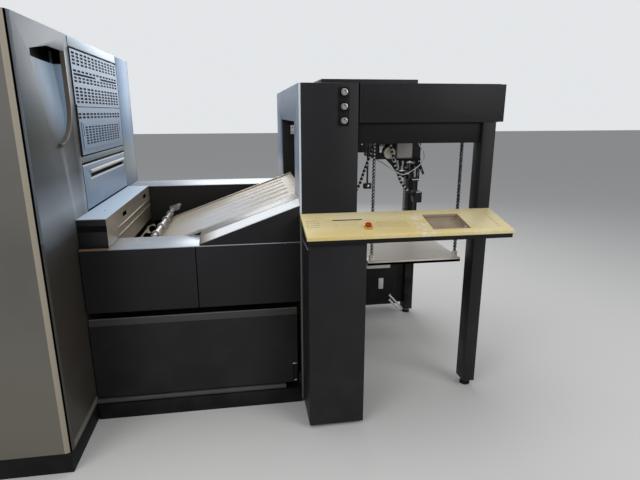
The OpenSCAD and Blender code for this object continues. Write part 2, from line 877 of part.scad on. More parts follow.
module back_cover() {
    door = (x_feed - x_face) / back_doors;
    color([0.14, 0.14, 0.15]) difference() {
        block([x_face + fit, y_side_b + seam / 2, table_plinth_z + fit],
              [x_feed - fit, y_back, back_rail_z - rail_t - fit]);
        for (i = [1 : back_doors - 1])
            block([x_face + i * door - seam / 2, y_back - seam, table_plinth_z],
                  [x_face + i * door + seam / 2, y_back + past, back_rail_z]);
    }
}

module back_rail() {
    color([0.7, 0.73, 0.78])
        block([x_face + seam, y_side_b, back_rail_z - rail_t], [x_feed - fit, y_back, back_rail_z]);
}

y_back_column = y_feed_back - beam_t - seam;
// The board's tongue passes the window with a small gap beside the front column
window_y0 = y_front + column_w + seam;
tongue_y0 = window_y0 + seam;
// Number of the conveyor tapes and their distance from the board's ends
tapes = 5;
tape_in = 30;

// A slab along the board between two places in Y, from its lower to its upper height over the board
module board_slab(y0, y1, low, high) {
    on_board() translate([-2 * board_tongue, y0 - y_board, low])
        cube([board_len + 2 * board_tongue, y1 - y0, high - low]);
}

// Strips along the board where the tapes lie, wider by a gap on each side
module tape_strips(low, high, gap) {
    pitch = board_w / (tapes + 1);
    for (i = [0 : tapes - 1])
        on_board() translate([tape_in - gap, (i - (tapes - 1) / 2) * pitch - tape_w / 2 - gap, low])
            cube([board_len - 2 * tape_in + 2 * gap, tape_w + 2 * gap, high - low]);
}

module feed_board() {
    color([0.72, 0.66, 0.55]) difference() {
        union() {
            intersection() {
                board_slab(y_side_a + fit, y_board_far, -board_t, 0);
                block([x_face, y_near, 0], [x_feed - fit, y_far, unit_h]);
            }
            intersection() {
                board_slab(y_board_near, y_side_a + past, -board_t, 0);
                block([x_slope + fit, y_near, 0], [x_feed - fit, y_far, unit_h]);
            }
            intersection() {
                board_slab(tongue_y0, y_board_far, -board_t, 0);
                block([x_feed - past, y_near, 0], [x_feed + board_tongue, y_far, unit_h]);
            }
            intersection() {
                board_slab(y_board_far - ridge_w, y_board_far, -past, ridge_h);
                block([x_face, y_near, 0], [x_feed + board_tongue, y_far, unit_h]);
            }
        }
        tape_strips(-tape_t, past, fit);
    }
}

// Height of the tapes over their grooves' floor
tape_rise = 0.3;

module feed_tapes() {
    color([0.55, 0.5, 0.42]) tape_strips(tape_rise - tape_t, tape_rise, 0);
}

wheel_x = x_face + wheel_bar_x;
wheel_z = board_z(wheel_x) + bar_lift;
// Gap between a wheel and the tape below it
wheel_lift = 3;
// Number of the sheet wheels and distance of the outer ones from the board's edges
wheels = 4;
wheel_in = 120;

// A clamp ring on the bar with an arm down to its sheet wheel, y is the arm's middle
module wheel_arm(y) {
    tip_x = wheel_x - arm_len;
    tip_z = board_z(tip_x) + wheel_d / 2 + wheel_lift;
    side_profile([
        [wheel_x, wheel_z + arm_h / 2],
        [wheel_x, wheel_z - arm_h / 2],
        [tip_x, tip_z - arm_h / 2],
        [tip_x - arm_h / 2, tip_z],
        [tip_x, tip_z + arm_h / 2]
    ], y - arm_t / 2, y + arm_t / 2);
    bar_y(wheel_x, wheel_z, clamp_d, y - clamp_w / 2, y + clamp_w / 2);
    bar_y(tip_x, tip_z, axle_d, y - arm_t, y + arm_t / 2 + wheel_w + axle_d / 2);
    bar_y(tip_x, tip_z, wheel_d, y + arm_t / 2 + past, y + arm_t / 2 + past + wheel_w);
}

module wheel_bar() {
    first = y_board_near + wheel_in;
    pitch = (board_w - 2 * wheel_in) / (wheels - 1);
    bracket_y = y_board_far + ridge_w;
    color([0.2, 0.2, 0.22]) {
        bar_y(wheel_x, wheel_z, wheel_bar_d, y_side_a + bed_in, bracket_y + arm_t);
        bar_y(wheel_x, wheel_z, bar_end_d, y_side_a + fit, y_side_b + seam / 2 - fit);
        for (i = [0 : wheels - 1])
            wheel_arm(first + i * pitch);
        side_profile([
            [wheel_x - clamp_d / 2, wheel_z - clamp_d / 2],
            [wheel_x + clamp_d, wheel_z],
            [wheel_x + clamp_d * 1.4, wheel_z + clamp_d * 0.9],
            [wheel_x + clamp_d, wheel_z + clamp_d],
            [wheel_x - clamp_d / 2, wheel_z + clamp_d / 2]
        ], bracket_y, bracket_y + arm_t);
        bar_y(wheel_x + clamp_d, wheel_z + clamp_d * 0.7, bar_end_d,
              bracket_y - 2 * clamp_w, bracket_y + past);
    }
}

// Reach of the feeder's end panel past the back cover
panel_out = 15;
y_panel_end = y_back + panel_out;

module feeder_end_panel() {
    sill = board_top_z - board_t / cos(board_slope) - fit;
    color([0.6, 0.64, 0.7]) difference() {
        block([x_feed, y_front, cabinet_gap], [x_feed + end_panel_t, y_panel_end, feeder_h]);
        block([x_feed - past, window_y0, sill],
              [x_feed + end_panel_t + past, y_back_column - fit, beam_z + rail_t]);
    }
}

// A closed column of the feeder between two places across the press
module column(y0, y1) {
    block([x_feed + end_panel_t + fit, y0, cabinet_gap], [x_feed + column_len, y1, feeder_h]);
}

module front_column() {
    color([0.14, 0.14, 0.15]) column(y_front, y_front + column_w);
}

module back_column() {
    color([0.14, 0.14, 0.15]) column(y_back_column, y_panel_end);
}

// Step between a beam and the cap on its end
cap_step = 2;

module beam(y0) {
    block([x_feed + column_len + fit, y0, beam_z], [x_end - beam_cap, y0 + beam_t, feeder_h]);
    block([x_end - beam_cap - past, y0, beam_z + cap_step], [x_end, y0 + beam_t, feeder_h - cap_step]);
}

module front_beam() {
    color([0.15, 0.15, 0.17]) beam(y_front);
}

module back_beam() {
    color([0.15, 0.15, 0.17]) beam(y_feed_back - beam_t);
}

// Distance of the valance behind the beam's front and its thickness
valance_in = 20;
valance_t = 50;

module front_valance() {
    color([0.1, 0.1, 0.11])
        block([x_feed + column_len + fit, y_front + valance_in, beam_z - valance_h],
              [x_post - fit, y_front + valance_in + valance_t, beam_z - fit]);
}

// One post of the feeder, y is its front face
module post(y) {
    block([x_post, y, foot_h], [x_post + post_len, y + post_w, beam_z - fit]);
}

module front_post() {
    color([0.13, 0.13, 0.14]) post(y_front);
}

module back_post() {
    color([0.13, 0.13, 0.14]) post(y_feed_back - post_w);
}

// Thickness of the disc under a post
foot_disc_t = 12;

module post_feet() {
    color([0.1, 0.1, 0.1]) for (y = [y_front, y_feed_back - post_w])
        translate([x_post + post_len / 2, y + post_w / 2, 0]) {
            cylinder(h = foot_disc_t, d = foot_d);
            translate([0, 0, foot_disc_t - fit]) cylinder(h = foot_h - foot_disc_t, d = foot_d / 3);
        }
}

module feeder_lid() {
    z0 = feeder_h - lid_t;
    color([0.3, 0.3, 0.32]) {
        block([x_feed + column_len + fit, y_front + beam_t + fit, z0],
              [x_end - post_in, y_feed_back - beam_t - fit, feeder_h]);
        block([x_feed + end_panel_t + fit, y_front + column_w + fit, z0],
              [x_feed + column_len + past, y_back_column - fit, feeder_h]);
        block([x_feed + hood_in, y_mid - hood_w / 2, feeder_h - past],
              [x_feed + hood_in + hood_len, y_mid + hood_w / 2, feeder_h + lid_hood_h]);
    }
}

// Inset of the tray below the desk's top
tray_in = 5;
// Distance of the cabinet from the desk's left end and from its front edge
cabinet_x = 11;
cabinet_in = 25;
// Clear height of a cut over the desk
cut_h = 200;

// Places children on the desk, the origin is the back left corner of its top
module on_desk() {
    translate([x_desk, y_desk, desk_z]) rotate([desk_tilt, 0, 0]) children();
}

// A slice of the desk between two depths below its top
module desk_slice(inset, depth0, depth1) {
    intersection() {
        block([x_desk + inset, y_desk - desk_w + inset, 0], [x_desk_end - inset, y_desk, unit_h]);
        on_desk() translate([-tray_in, -2 * desk_w, -depth1])
            cube([x_desk_end - x_desk + 2 * tray_in, 3 * desk_w, depth1 - depth0]);
    }
}

// The hollow of the desk's pocket, wider by a gap on each side
module pocket_space(gap) {
    on_desk() translate([pocket_x - gap, -pocket_y - pocket_w - gap, -pocket_d])
        cube([pocket_len + 2 * gap, pocket_w + 2 * gap, cut_h]);
}

module desk_tray() {
    color([0.08, 0.08, 0.085]) difference() {
        desk_slice(tray_in, desk_top_t + fit, desk_top_t + desk_tray_t);
        pocket_space(0);
    }
}

module desk_top() {
    color([0.83, 0.78, 0.6]) difference() {
        desk_slice(0, 0, desk_top_t);
        pocket_space(0);
        on_desk() translate([slot_x, -slot_y - slot_w, -slot_d]) cube([slot_len, slot_w, cut_h]);
    }
}

module desk_cabinet() {
    x0 = x_desk + cabinet_x;
    color([0.13, 0.13, 0.14]) difference() {
        block([x0, y_desk - desk_w + cabinet_in, cabinet_gap], [x0 + cabinet_len, y_desk, desk_z]);
        on_desk() translate([-tray_in, -2 * desk_w, -desk_top_t - desk_tray_t - fit])
            cube([cabinet_len + 2 * cabinet_x + tray_in, 3 * desk_w, cut_h]);
    }
}

// Width of the base's rim round the stop button and the stem's clearance in its bore
stop_rim = 5;
stem_gap = 0.5;
stem_d = 20;
// Height of the button's head over its base and of the stem over the desk
stop_rise = 5.5;
stem_rise = 6;

module stop_base() {
    color([0.85, 0.7, 0.1]) on_desk() translate([stop_x, -stop_y, fit]) difference() {
        cylinder(h = stop_base_h, d = stop_d + 2 * stop_rim);
        translate([0, 0, -past]) cylinder(h = stop_base_h + 2 * past, d = stem_d + 2 * stem_gap);
    }
}

module stop_button() {
    head_z = stop_base_h + stop_rise;
    dome = 0.6 * stop_d;
    color([0.75, 0.08, 0.06]) on_desk() translate([stop_x, -stop_y, fit]) {
        intersection() {
            translate([0, 0, head_z]) cylinder(h = stop_h, d = stop_d);
            translate([0, 0, head_z + stop_h - dome]) sphere(r = dome);
        }
        translate([0, 0, stem_rise]) cylinder(h = head_z + past - stem_rise, d = stem_d);
    }
}

knob_x = x_feed + knob_in;
// Diameter of an air knob's spindle, of its bore and gap between the knob and its plate
spindle_d = 11;
spindle_bore = 12;
knob_gap = 5;

module knob_plate() {
    ring_d = knob_d + 2 * knob_gap;
    half = knob_plate_w / 2;
    color([0.05, 0.05, 0.05]) translate([knob_x, y_front - fit, knob_z]) rotate([90, 0, 0]) {
        linear_extrude(knob_plate_t) difference() {
            translate([-half, -knob_pitch - half]) square([knob_plate_w, 2 * knob_pitch + knob_plate_w]);
            for (i = [-1 : 1]) translate([0, i * knob_pitch]) circle(d = spindle_bore);
        }
        linear_extrude(knob_plate_t + ring_h) for (i = [-1 : 1])
            translate([0, i * knob_pitch]) difference() {
                circle(d = ring_d + 2 * ring_w);
                circle(d = ring_d);
            }
    }
}

// One air knob on its spindle
module air_knob(i) {
    z0 = knob_plate_t + knob_gap;
    color([0.75, 0.77, 0.8]) translate([knob_x, y_front - fit, knob_z + i * knob_pitch]) rotate([90, 0, 0]) {
        translate([0, 0, past]) cylinder(h = z0, d = spindle_d);
        translate([0, 0, z0]) cylinder(h = knob_len, d = knob_d);
    }
}

module air_knob_1() {
    air_knob(1);
}

module air_knob_2() {
    air_knob(0);
}

module air_knob_3() {
    air_knob(-1);
}

plate_x0 = x_post - plate_gap - plate_len;
plate_y0 = y_mid - plate_w / 2;
chain_places_x = [plate_x0 + chain_end, plate_x0 + plate_len - chain_end];
chain_y_front = y_front + beam_t + chain_in;
chain_y_back = y_feed_back - beam_t - chain_in;

module lift_plate() {
    y1 = plate_y0 + plate_w;
    color([0.75, 0.76, 0.78]) {
        block([plate_x0, plate_y0, plate_z - plate_t], [plate_x0 + plate_len, y1, plate_z]);
        for (x = chain_places_x) {
            block([x - lug_len / 2, chain_y_front - lug_w / 2, plate_z - plate_t],
                  [x + lug_len / 2, max(chain_y_front, plate_y0) + lug_w / 2, plate_z + lug_h]);
            block([x - lug_len / 2, min(chain_y_back, y1) - lug_w / 2, plate_z - plate_t],
                  [x + lug_len / 2, chain_y_back + lug_w / 2, plate_z + lug_h]);
        }
    }
}

module lift_chains() {
    color([0.05, 0.05, 0.05]) for (x = chain_places_x) for (y = [chain_y_front, chain_y_back])
        block([x - chain_w / 2, y - chain_w / 2, plate_z + lug_h + fit],
              [x + chain_w / 2, y + chain_w / 2, feeder_h - lid_t - fit]);
}

head_x = x_feed + head_in;
head_end = head_x + head_len;
head_y = y_mid - head_front;
head_y1 = head_y + head_w;
// Height of the lower face of the shelf that the hoses come out of
shelf_z = head_top_z - shelf_t;
// Inset of the gear block and the lever plates behind the housing's front
block_in = 35;
lever_in = 15;
// Height of the bars that carry the head, over the beams' lower faces
head_bar_up = 60;
// Distance from one carrying bar to the other
head_bar_pitch = 190;

// A lever plate under the housing with its lightening hole, y is its front face
module lever_plate(y) {
    hole_z = head_z - head_len / 3;
    difference() {
        side_profile([
            [head_x, head_z + past],
            [head_x, head_z],
            [head_end - head_len / 4, head_z - head_len * 0.75],
            [head_end + side_block_len / 3, sucker_z],
            [head_end + side_block_len, sucker_z],
            [head_end + side_block_len, head_z + past]
        ], y, y + lever_t);
        bar_y(head_end, hole_z, head_len / 2, y - past, y + lever_t + past);
    }
}

// A sucker: a piston with a cup of two cones, its centre is in X and Y
module sucker(x, y) {
    cup_h = sucker_d / 3;
    piston_z = 2 * cup_h - past;
    translate([x, y, sucker_z]) {
        translate([0, 0, piston_z]) cylinder(h = head_z + past - sucker_z - piston_z, d = piston_d);
        cylinder(h = cup_h, d1 = sucker_d, d2 = piston_d);
        translate([0, 0, cup_h - fit]) cylinder(h = cup_h, d1 = sucker_d - past, d2 = piston_d);
    }
}

// Places of the sheet stop's bar and the plug box on it
stop_bar_in = 28;
plug_z = 1200;
plug_h = 70;
plug_w = 46;
plug_out = 50;
// Places of the side weight and of the side box before the head
weight_in = 183;
weight_w = 46;
weight_z = 1221;
side_box_in = 254;
side_box_w = 49;
side_box_z = 1457;
stop_bar_x = head_end + stop_bar_in;
weight_x = head_x - weight_in;
side_box_x = head_x - side_box_in;
plug_y = head_y - plug_out;

module head_carrier() {
    mid_x = head_x + head_len / 4;
    bar_z = beam_z + head_bar_up;
    for (x = [mid_x - head_bar_pitch / 2, mid_x + head_bar_pitch / 2])
        bar_y(x, bar_z, head_bar_d, y_front + beam_t + fit, y_feed_back - beam_t - fit);
    for (y = [head_y + 3 * lever_in, head_y1 - 4 * lever_in])
        side_profile([
            [mid_x - head_bar_pitch / 2 - head_bar_d, bar_z - head_bar_d],
            [head_x, head_top_z - past],
            [head_end, head_top_z - past],
            [mid_x + head_bar_pitch / 2 + head_bar_d, bar_z - head_bar_d],
            [mid_x + head_bar_pitch / 2 + head_bar_d, bar_z + head_bar_d],
            [mid_x - head_bar_pitch / 2 - head_bar_d, bar_z + head_bar_d]
        ], y, y + lever_in);
}

// The pieces that hang before the head: side weight on its bar, side box, plug box and stop bar
module head_hangings() {
    bar_y0 = head_y + lever_in;
    bar_y1 = bar_y0 + stop_bar;
    plug_x = stop_bar_x - lever_in;
    block([weight_x - stop_bar / 2, bar_y0, weight_z], [weight_x + stop_bar / 2, bar_y1, shelf_z + past]);
    block([weight_x - weight_w / 2, head_y, weight_z],
          [weight_x + weight_w / 2, bar_y1 + lever_in, weight_z + block_in]);
    block([side_box_x, head_y - block_in, side_box_z], [side_box_x + side_box_w, bar_y0, shelf_z + past]);
    block([stop_bar_x, bar_y0, stop_bar_z], [stop_bar_x + stop_bar, bar_y1, head_z]);
    block([plug_x, plug_y, plug_z - plug_h], [plug_x + plug_w, bar_y1, plug_z]);
}

module suction_head() {
    gear_x = head_x - gear_len;
    gear_y = head_y + block_in;
    disc_x = head_x - 0.37 * gear_len;
    disc_z = head_z + disc_d / 2;
    lever_y = head_y + lever_in;
    sucker_pitch = (head_w - 4 * sucker_d) / (suckers - 1);
    color([0.3, 0.3, 0.32]) {
        block([head_x, head_y, head_z], [head_end, head_y1, head_top_z]);
        block([head_end - past, lever_y, head_z], [head_end + side_block_len, head_y1 - lever_in, shelf_z]);
        block([gear_x, gear_y, head_z - lever_t / 2], [head_x + past, head_y1 - block_in, shelf_z]);
        block([side_box_x, head_y - shelf_out, shelf_z],
              [head_end + side_block_len + stop_bar, head_y + 3 * lever_in, head_top_z]);
        bar_y(disc_x, disc_z, disc_d, head_y - disc_t / 2, head_y + disc_t / 2);
        bar_y(disc_x, disc_z, disc_d / 3, head_y - disc_t, gear_y + past);
        lever_plate(lever_y);
        lever_plate(head_y1 - lever_in - lever_t);
        for (i = [0 : suckers - 1])
            sucker(head_end + piston_d, lever_y + lever_t + sucker_d + i * sucker_pitch);
        side_profile([
            [head_end + side_block_len - stop_bar, head_z - sucker_d],
            [head_end + side_block_len, head_z - piston_d],
            [head_end + side_block_len + sucker_d, head_z - 3 * sucker_d],
            [head_end + side_block_len + piston_d, head_z - 3.2 * sucker_d]
        ], lever_y, lever_y + stop_bar);
        head_hangings();
        head_carrier();
    }
}

// A point between the second and third of four route points, on the smooth curve through them
function curve_point(p, t) = p[1] + 0.5 * t * (p[2] - p[0]
    + t * (2 * p[0] - 5 * p[1] + 4 * p[2] - p[3] + t * (3 * p[1] - p[0] - 3 * p[2] + p[3])));

// The route with its ends repeated, so that the curve runs from the first to the last point
function padded(route) = let (n = len(route))
    concat([2 * route[0] - route[1]], route, [2 * route[n - 1] - route[n - 2]]);

// Ring centres along a route, steps for each stretch between two points
function centres(route, steps) = let (p = padded(route)) concat(
    [for (i = [0 : len(route) - 2]) for (k = [0 : steps - 1])
        curve_point([p[i], p[i + 1], p[i + 2], p[i + 3]], k / steps)],
    [route[len(route) - 1]]);

function unit(v) = v / norm(v);

// Directions of the rings, the first and last are given so that the ends lie flat on their faces
function directions(c, first, last) = [for (i = [0 : len(c) - 1])
    i == 0 ? first : i == len(c) - 1 ? last : unit(c[i + 1] - c[i - 1])];

// A hose swept along its route, in a plane that stands roughly across the press
module hose(route, d, steps, first, last, sides = 10) {
    c = centres(route, steps);
    dirs = directions(c, first, last);
    across = [0, 1, 0];
    turn = 360 / sides;
    points = [for (i = [0 : len(c) - 1]) let (u = unit(cross(dirs[i], across)), v = cross(u, dirs[i]))
        for (k = [0 : sides - 1]) c[i] + d / 2 * (cos(k * turn) * u + sin(k * turn) * v)];
    ends = [
        [for (k = [0 : sides - 1]) k],
        [for (k = [sides - 1 : -1 : 0]) (len(c) - 1) * sides + k]
    ];
    walls = [for (i = [0 : len(c) - 2]) for (k = [0 : sides - 1])
        let (a = i * sides + k, b = i * sides + (k + 1) % sides)
        each [[a, a + sides, b], [b, a + sides, b + sides]]];
    polyhedron(points, concat(ends, walls));
}

// Routes of the hoses, in X from the end panel, in Y from the feeder's middle and in Z from the shelf
side_hose_route = [
    [530, -228, 0], [522, -228, -50], [505, -223, -95], [484, -223, -148], [457, -223, -223],
    [432, -223, -295], [395, -228, -347], [340, -238, -380], [270, -253, -393], [190, -268, -390],
    [100, -278, -381], [11, -283, -375]
];
head_hose_route = [
    [626, -233, 0], [631, -233, -53], [646, -233, -104], [657, -233, -151], [680, -233, -213],
    [704, -233, -273], [732, -233, -313], [766, -232, -345], [800, -230, -365]
];
air_line_route = [
    [798, -258, 0], [808, -258, -40], [836, -258, -80], [846, -258, -120], [826, -258, -160],
    [775, -258, -200], [702, -258, -227], [616, -238, -179], [572, -203, -148], [502, -178, -121]
];

// Places children at the hoses' origin, just clear of the faces where they end
module at_shelf() {
    translate([x_feed - fit, y_mid, shelf_z - fit]) children();
}

module side_hose() {
    color([0.05, 0.05, 0.055]) at_shelf() hose(side_hose_route, hose_d, 2, [0, 0, -1], [-1, 0, 0]);
}

module head_hose() {
    color([0.06, 0.06, 0.065]) at_shelf() hose(head_hose_route, hose_d, 2, [0, 0, -1], [1, 0, 0]);
}

module air_line() {
    color([0.85, 0.85, 0.83]) at_shelf() hose(air_line_route, line_d, 3, [0, 0, -1], [-1, 0, 0], 8);
}

// Place and size of the low drive box beside the back post
box_z = 90;
box_h = 390;
box_out = 150;
box_in = 20;
box_end = 60;

module drive_box() {
    color([0.07, 0.07, 0.075])
        block([x_feed + column_len + fit, y_feed_back - post_w + box_in, box_z],
              [x_post - box_end, y_feed_back + box_out, box_z + box_h]);
}

unit_plinth();
unit_housing();
operator_cover();
near_end_panel();
drive_cover();
far_end_panel();
top_cap();
upper_vent_guard();
framed_vent_guard();
guard_strip();
swing_guard();
guard_hinges();
grab_handle();
coupling_wall();
infeed_guard();
table_plinth();
table_bed();
side_panel_left();
side_panel_right();
front_rail();
slope_cover();
slope_plate();
front_flap();
flap_hinges();
foot_bar();
back_cover();
back_rail();
feed_board();
feed_tapes();
wheel_bar();
feeder_end_panel();
front_column();
back_column();
front_beam();
back_beam();
front_valance();
front_post();
back_post();
post_feet();
feeder_lid();
desk_cabinet();
desk_tray();
desk_top();
stop_base();
stop_button();
knob_plate();
air_knob_1();
air_knob_2();
air_knob_3();
lift_plate();
lift_chains();
suction_head();
side_hose();
head_hose();
air_line();
drive_box();
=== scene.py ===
# %% [markdown]
# # Dressing a sheet-fed press
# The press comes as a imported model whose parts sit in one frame, in metres: X runs from the
# printing unit to the feeder, Y from the operator's side to the drive side, Z up.
# This lesson gives those parts their finishes and adds what is too fine for the solid model.

# %% Load the press
import json
import math
import bpy
from mathutils import Matrix, Vector

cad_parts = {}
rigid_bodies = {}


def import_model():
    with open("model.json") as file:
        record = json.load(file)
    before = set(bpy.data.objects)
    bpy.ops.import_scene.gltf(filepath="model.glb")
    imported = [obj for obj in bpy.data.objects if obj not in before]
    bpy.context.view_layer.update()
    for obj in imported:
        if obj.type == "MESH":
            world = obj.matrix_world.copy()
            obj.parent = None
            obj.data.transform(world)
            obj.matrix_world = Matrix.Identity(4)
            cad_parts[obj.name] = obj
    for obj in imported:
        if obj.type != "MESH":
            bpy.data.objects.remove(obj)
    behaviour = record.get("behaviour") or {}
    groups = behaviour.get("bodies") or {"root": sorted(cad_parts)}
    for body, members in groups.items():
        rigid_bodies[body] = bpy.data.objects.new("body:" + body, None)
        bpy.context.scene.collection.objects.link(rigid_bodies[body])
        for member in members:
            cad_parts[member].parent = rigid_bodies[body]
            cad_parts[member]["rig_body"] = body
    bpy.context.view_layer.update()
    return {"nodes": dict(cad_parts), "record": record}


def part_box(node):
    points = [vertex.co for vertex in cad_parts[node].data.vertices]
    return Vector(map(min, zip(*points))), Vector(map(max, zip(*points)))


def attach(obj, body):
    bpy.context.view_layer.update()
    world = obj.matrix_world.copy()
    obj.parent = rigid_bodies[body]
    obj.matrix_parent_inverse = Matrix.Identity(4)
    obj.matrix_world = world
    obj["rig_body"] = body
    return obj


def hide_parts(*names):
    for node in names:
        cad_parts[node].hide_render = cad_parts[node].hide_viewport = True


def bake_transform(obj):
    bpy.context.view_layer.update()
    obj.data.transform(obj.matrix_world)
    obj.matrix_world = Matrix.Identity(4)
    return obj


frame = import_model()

# %% [markdown]
# ## The camera
# A camera is set by where its lens is and which way it looks. A photographer stood in front of
# the press, looked a little to the right and down, and held the camera almost level. Turning by
# three plain angles says that better than a target point would.

# %% Set up the camera
EYE = (0.195, -3.215, 1.7)
TURN_RIGHT, LOOK_DOWN, ROLL = math.radians(8.875), math.radians(14.686), math.radians(0.1)
SENSOR, FOCAL = 36.0, 27.34


def linked(name, data):
    """A new object in the scene."""
    made = bpy.data.objects.new(name, data)
    bpy.context.scene.collection.objects.link(made)
    return made


lens = bpy.data.cameras.new("photo_camera")
lens.sensor_width, lens.lens = SENSOR, FOCAL
camera = linked("photo_camera", lens)
camera.matrix_world = (Matrix.Translation(EYE) @ Matrix.Rotation(-TURN_RIGHT, 4, "Z")
                       @ Matrix.Rotation(math.pi / 2 - LOOK_DOWN, 4, "X")
                       @ Matrix.Rotation(-ROLL, 4, "Z"))
bpy.context.scene.camera = camera
bpy.context.scene.view_settings.view_transform = "Standard"
print("Camera stands at", EYE)

# %% [markdown]
# ## A class for shader maths
# Node trees are long when each Math node is added by hand. A small class that wraps one socket
# and knows + - * lets a finish be written as a sum, and every other node comes from one method.

# %% Sockets that can be added and multiplied
class Wire:
    """One output of a shader tree, on which Python's operators add Math nodes."""

    def __init__(self, finish, socket):
        self.finish, self.socket = finish, socket

    def maths(operation, swapped=False):
        """A method that adds one Math node."""
        def method(self, other):
            pair = (other, self) if swapped else (self, other)
            return self.finish.node("ShaderNodeMath", dict(enumerate(pair)), operation=operation)
        return method

    __add__ = __radd__ = maths("ADD")
    __sub__, __rsub__ = maths("SUBTRACT"), maths("SUBTRACT", swapped=True)
    __mul__ = maths("MULTIPLY")

    def between(self, low, high):
        """0 below low, 1 above high and straight in between."""
        return self.finish.node("ShaderNodeMapRange", {0: self, 1: low, 2: high}, clamp=True)


class Finish:
    """A named material: a Principled shader and the nodes that feed it."""

    def __init__(self, name, colour, roughness, metallic=0.0, shine=0.5):
        self.material = bpy.data.materials.new(name)
        self.material.use_nodes = True
        self.tree = self.material.node_tree
        self.shader = next(n for n in self.tree.nodes if n.type == "BSDF_PRINCIPLED")
        for socket, value in (("Base Color", (*colour, 1)), ("Roughness", roughness),
                              ("Metallic", metallic), ("Specular IOR Level", shine)):
            self.shader.inputs[socket].default_value = value
        self.where = self.node("ShaderNodeTexCoord", out="Object")

    def node(self, kind, inputs=None, out=0, **settings):
        """Adds a node of that kind, with its settings first and then its sockets."""
        made = self.tree.nodes.new(kind)
        for key, value in settings.items():
            setattr(made, key, value)
        for key, value in (inputs or {}).items():
            if isinstance(value, Wire):
                self.tree.links.new(value.socket, made.inputs[key])
            else:
                made.inputs[key].default_value = value
        return Wire(self, made.outputs[out])

    def feed(self, **wires):
        """Feeds sockets of the shader, _ stands for a space, and gives the material."""
        for name, wire in wires.items():
            self.tree.links.new(wire.socket, self.shader.inputs[name.replace("_", " ")])
        return self.material

    def noise(self, scale, detail=3.0, stretch=(1, 1, 1)):
        """Cloudy values round 0.5, drawn out along the axes whose stretch is small."""
        place = self.node("ShaderNodeMapping", {"Vector": self.where, "Scale": stretch})
        return self.node("ShaderNodeTexNoise", {"Vector": place, "Scale": scale, "Detail": detail})

    def along(self, axis):
        """The place along an axis, in metres."""
        return self.node("ShaderNodeSeparateXYZ", {0: self.where}, out=axis)

    def within(self, low, high, soft=0.0004):
        """1 inside the box between two corners and 0 outside, None leaves a side open."""
        mask = None
        for axis, a, b in zip("XYZ", low, high):
            for limit, side in ((a, 1), (b, -1)):
                if limit is not None:
                    part = self.along(axis).between(limit - side * soft, limit + side * soft)
                    mask = part if mask is None else mask * part
        return mask

    def mix(self, amount, first, second):
        """A colour between two colours, which may be wires."""
        first, second = (c if isinstance(c, Wire) else (*c, 1) for c in (first, second))
        return self.node("ShaderNodeMix", {0: amount, 6: first, 7: second}, out=2, data_type="RGBA")

    def crest(self):
        """What the mesh itself marks: 1 on ribs and pins, 0 in grooves."""
        return self.node("ShaderNodeAttribute", out="Fac", attribute_name="crest")

    def bump(self, height, distance, strength):
        """The bent normal of a surface raised by height times distance, in metres."""
        return self.node("ShaderNodeBump", {"Height": height, "Distance": distance, "Strength": strength})


print("Shader classes are ready")

# %% [markdown]
# ## Floor and light
# A press is too long for one lamp, so broad soft lamps stand in front of it on both sides, behind
# it and above it, and a pale sky fills the rest. Dark satin covers show their form by what they
# mirror, so the lamps are wide and low in power, and a colour comes out about as it is written.

# %% Floor, lamps and world
FLOOR_SIZE = 80.0
SKY, BACKDROP = ((0.86, 0.9, 0.96, 1), 0.42), ((0.86, 0.88, 0.9, 1), 0.9)


def soft_lamp(name, place, target, size, power):
    """A square area lamp at a place that faces a target."""
    lamp = bpy.data.lights.new(name, "AREA")
    lamp.shape, lamp.size, lamp.energy = "SQUARE", size, power
    aim = (Vector(target) - Vector(place)).to_track_quat("-Z", "Y")
    linked(name, lamp).matrix_world = Matrix.Translation(place) @ aim.to_matrix().to_4x4()


bpy.ops.mesh.primitive_plane_add(size=FLOOR_SIZE, location=(0, 0, 0))
floor = bpy.context.object
floor.name = "studio_floor"
floor.data.materials.append(Finish("studio_floor", (0.66, 0.65, 0.63), 0.85, shine=0.2).material)
soft_lamp("front_left_lamp", (-3.4, -4.6, 3.9), (0, 0, 0.9), 3.0, 95)
soft_lamp("front_right_lamp", (4.2, -4.4, 3.4), (0.3, 0, 0.9), 3.0, 95)
soft_lamp("top_lamp", (0.2, 0.3, 4.6), (0, 0, 0), 3.6, 90)
soft_lamp("back_lamp", (0.6, 4.8, 3.2), (0, 0, 1.1), 3.0, 90)

# The sky lights softly, and only the camera sees the paler backdrop.
world = bpy.data.worlds.new("pale_room")
world.use_nodes = True
tree = world.node_tree
sky, backdrop = tree.nodes["Background"], tree.nodes.new("ShaderNodeBackground")
choice = tree.nodes.new("ShaderNodeMixShader")
for node, (colour, strength) in ((sky, SKY), (backdrop, BACKDROP)):
    node.inputs["Color"].default_value = colour
    node.inputs["Strength"].default_value = strength
for output, socket in ((tree.nodes.new("ShaderNodeLightPath").outputs["Is Camera Ray"], choice.inputs[0]),
                       (sky.outputs[0], choice.inputs[1]), (backdrop.outputs[0], choice.inputs[2]),
                       (choice.outputs[0], tree.nodes["World Output"].inputs["Surface"])):
    tree.links.new(output, socket)
bpy.context.scene.world = world
print("Four lamps and a pale world light the press")

# %% [markdown]
# ## Powder coat, lacquer and brushed sheet
# Factory paint is never one flat colour: powder coat has a fine orange peel, covers collect
# dust near the floor, and lacquered or brushed sheet shows streaks where it is wiped. Each
# finish below is built from a few noises at real scales, so that it holds up close and far.

# %% Powder coat and lacquer
# PITCH is near black; most marks paint it as shade inside holes, slots and hollows and in the gaps between
# parts.
PITCH = (0.002, 0.002, 0.002)
DUST, OLD_DUST = (0.24, 0.21, 0.17), (0.16, 0.13, 0.1)
ALONG_X, ALONG_Y, UPRIGHT = (0.7, 30, 30), (30, 0.7, 30), (30, 30, 0.7)


def grime_on(finish, reach, scale, patches):
    """Patches of dust that thin out between two heights above the floor."""
    return (1 - finish.along("Z").between(*reach)) * finish.noise(scale, 5.0).between(*patches)


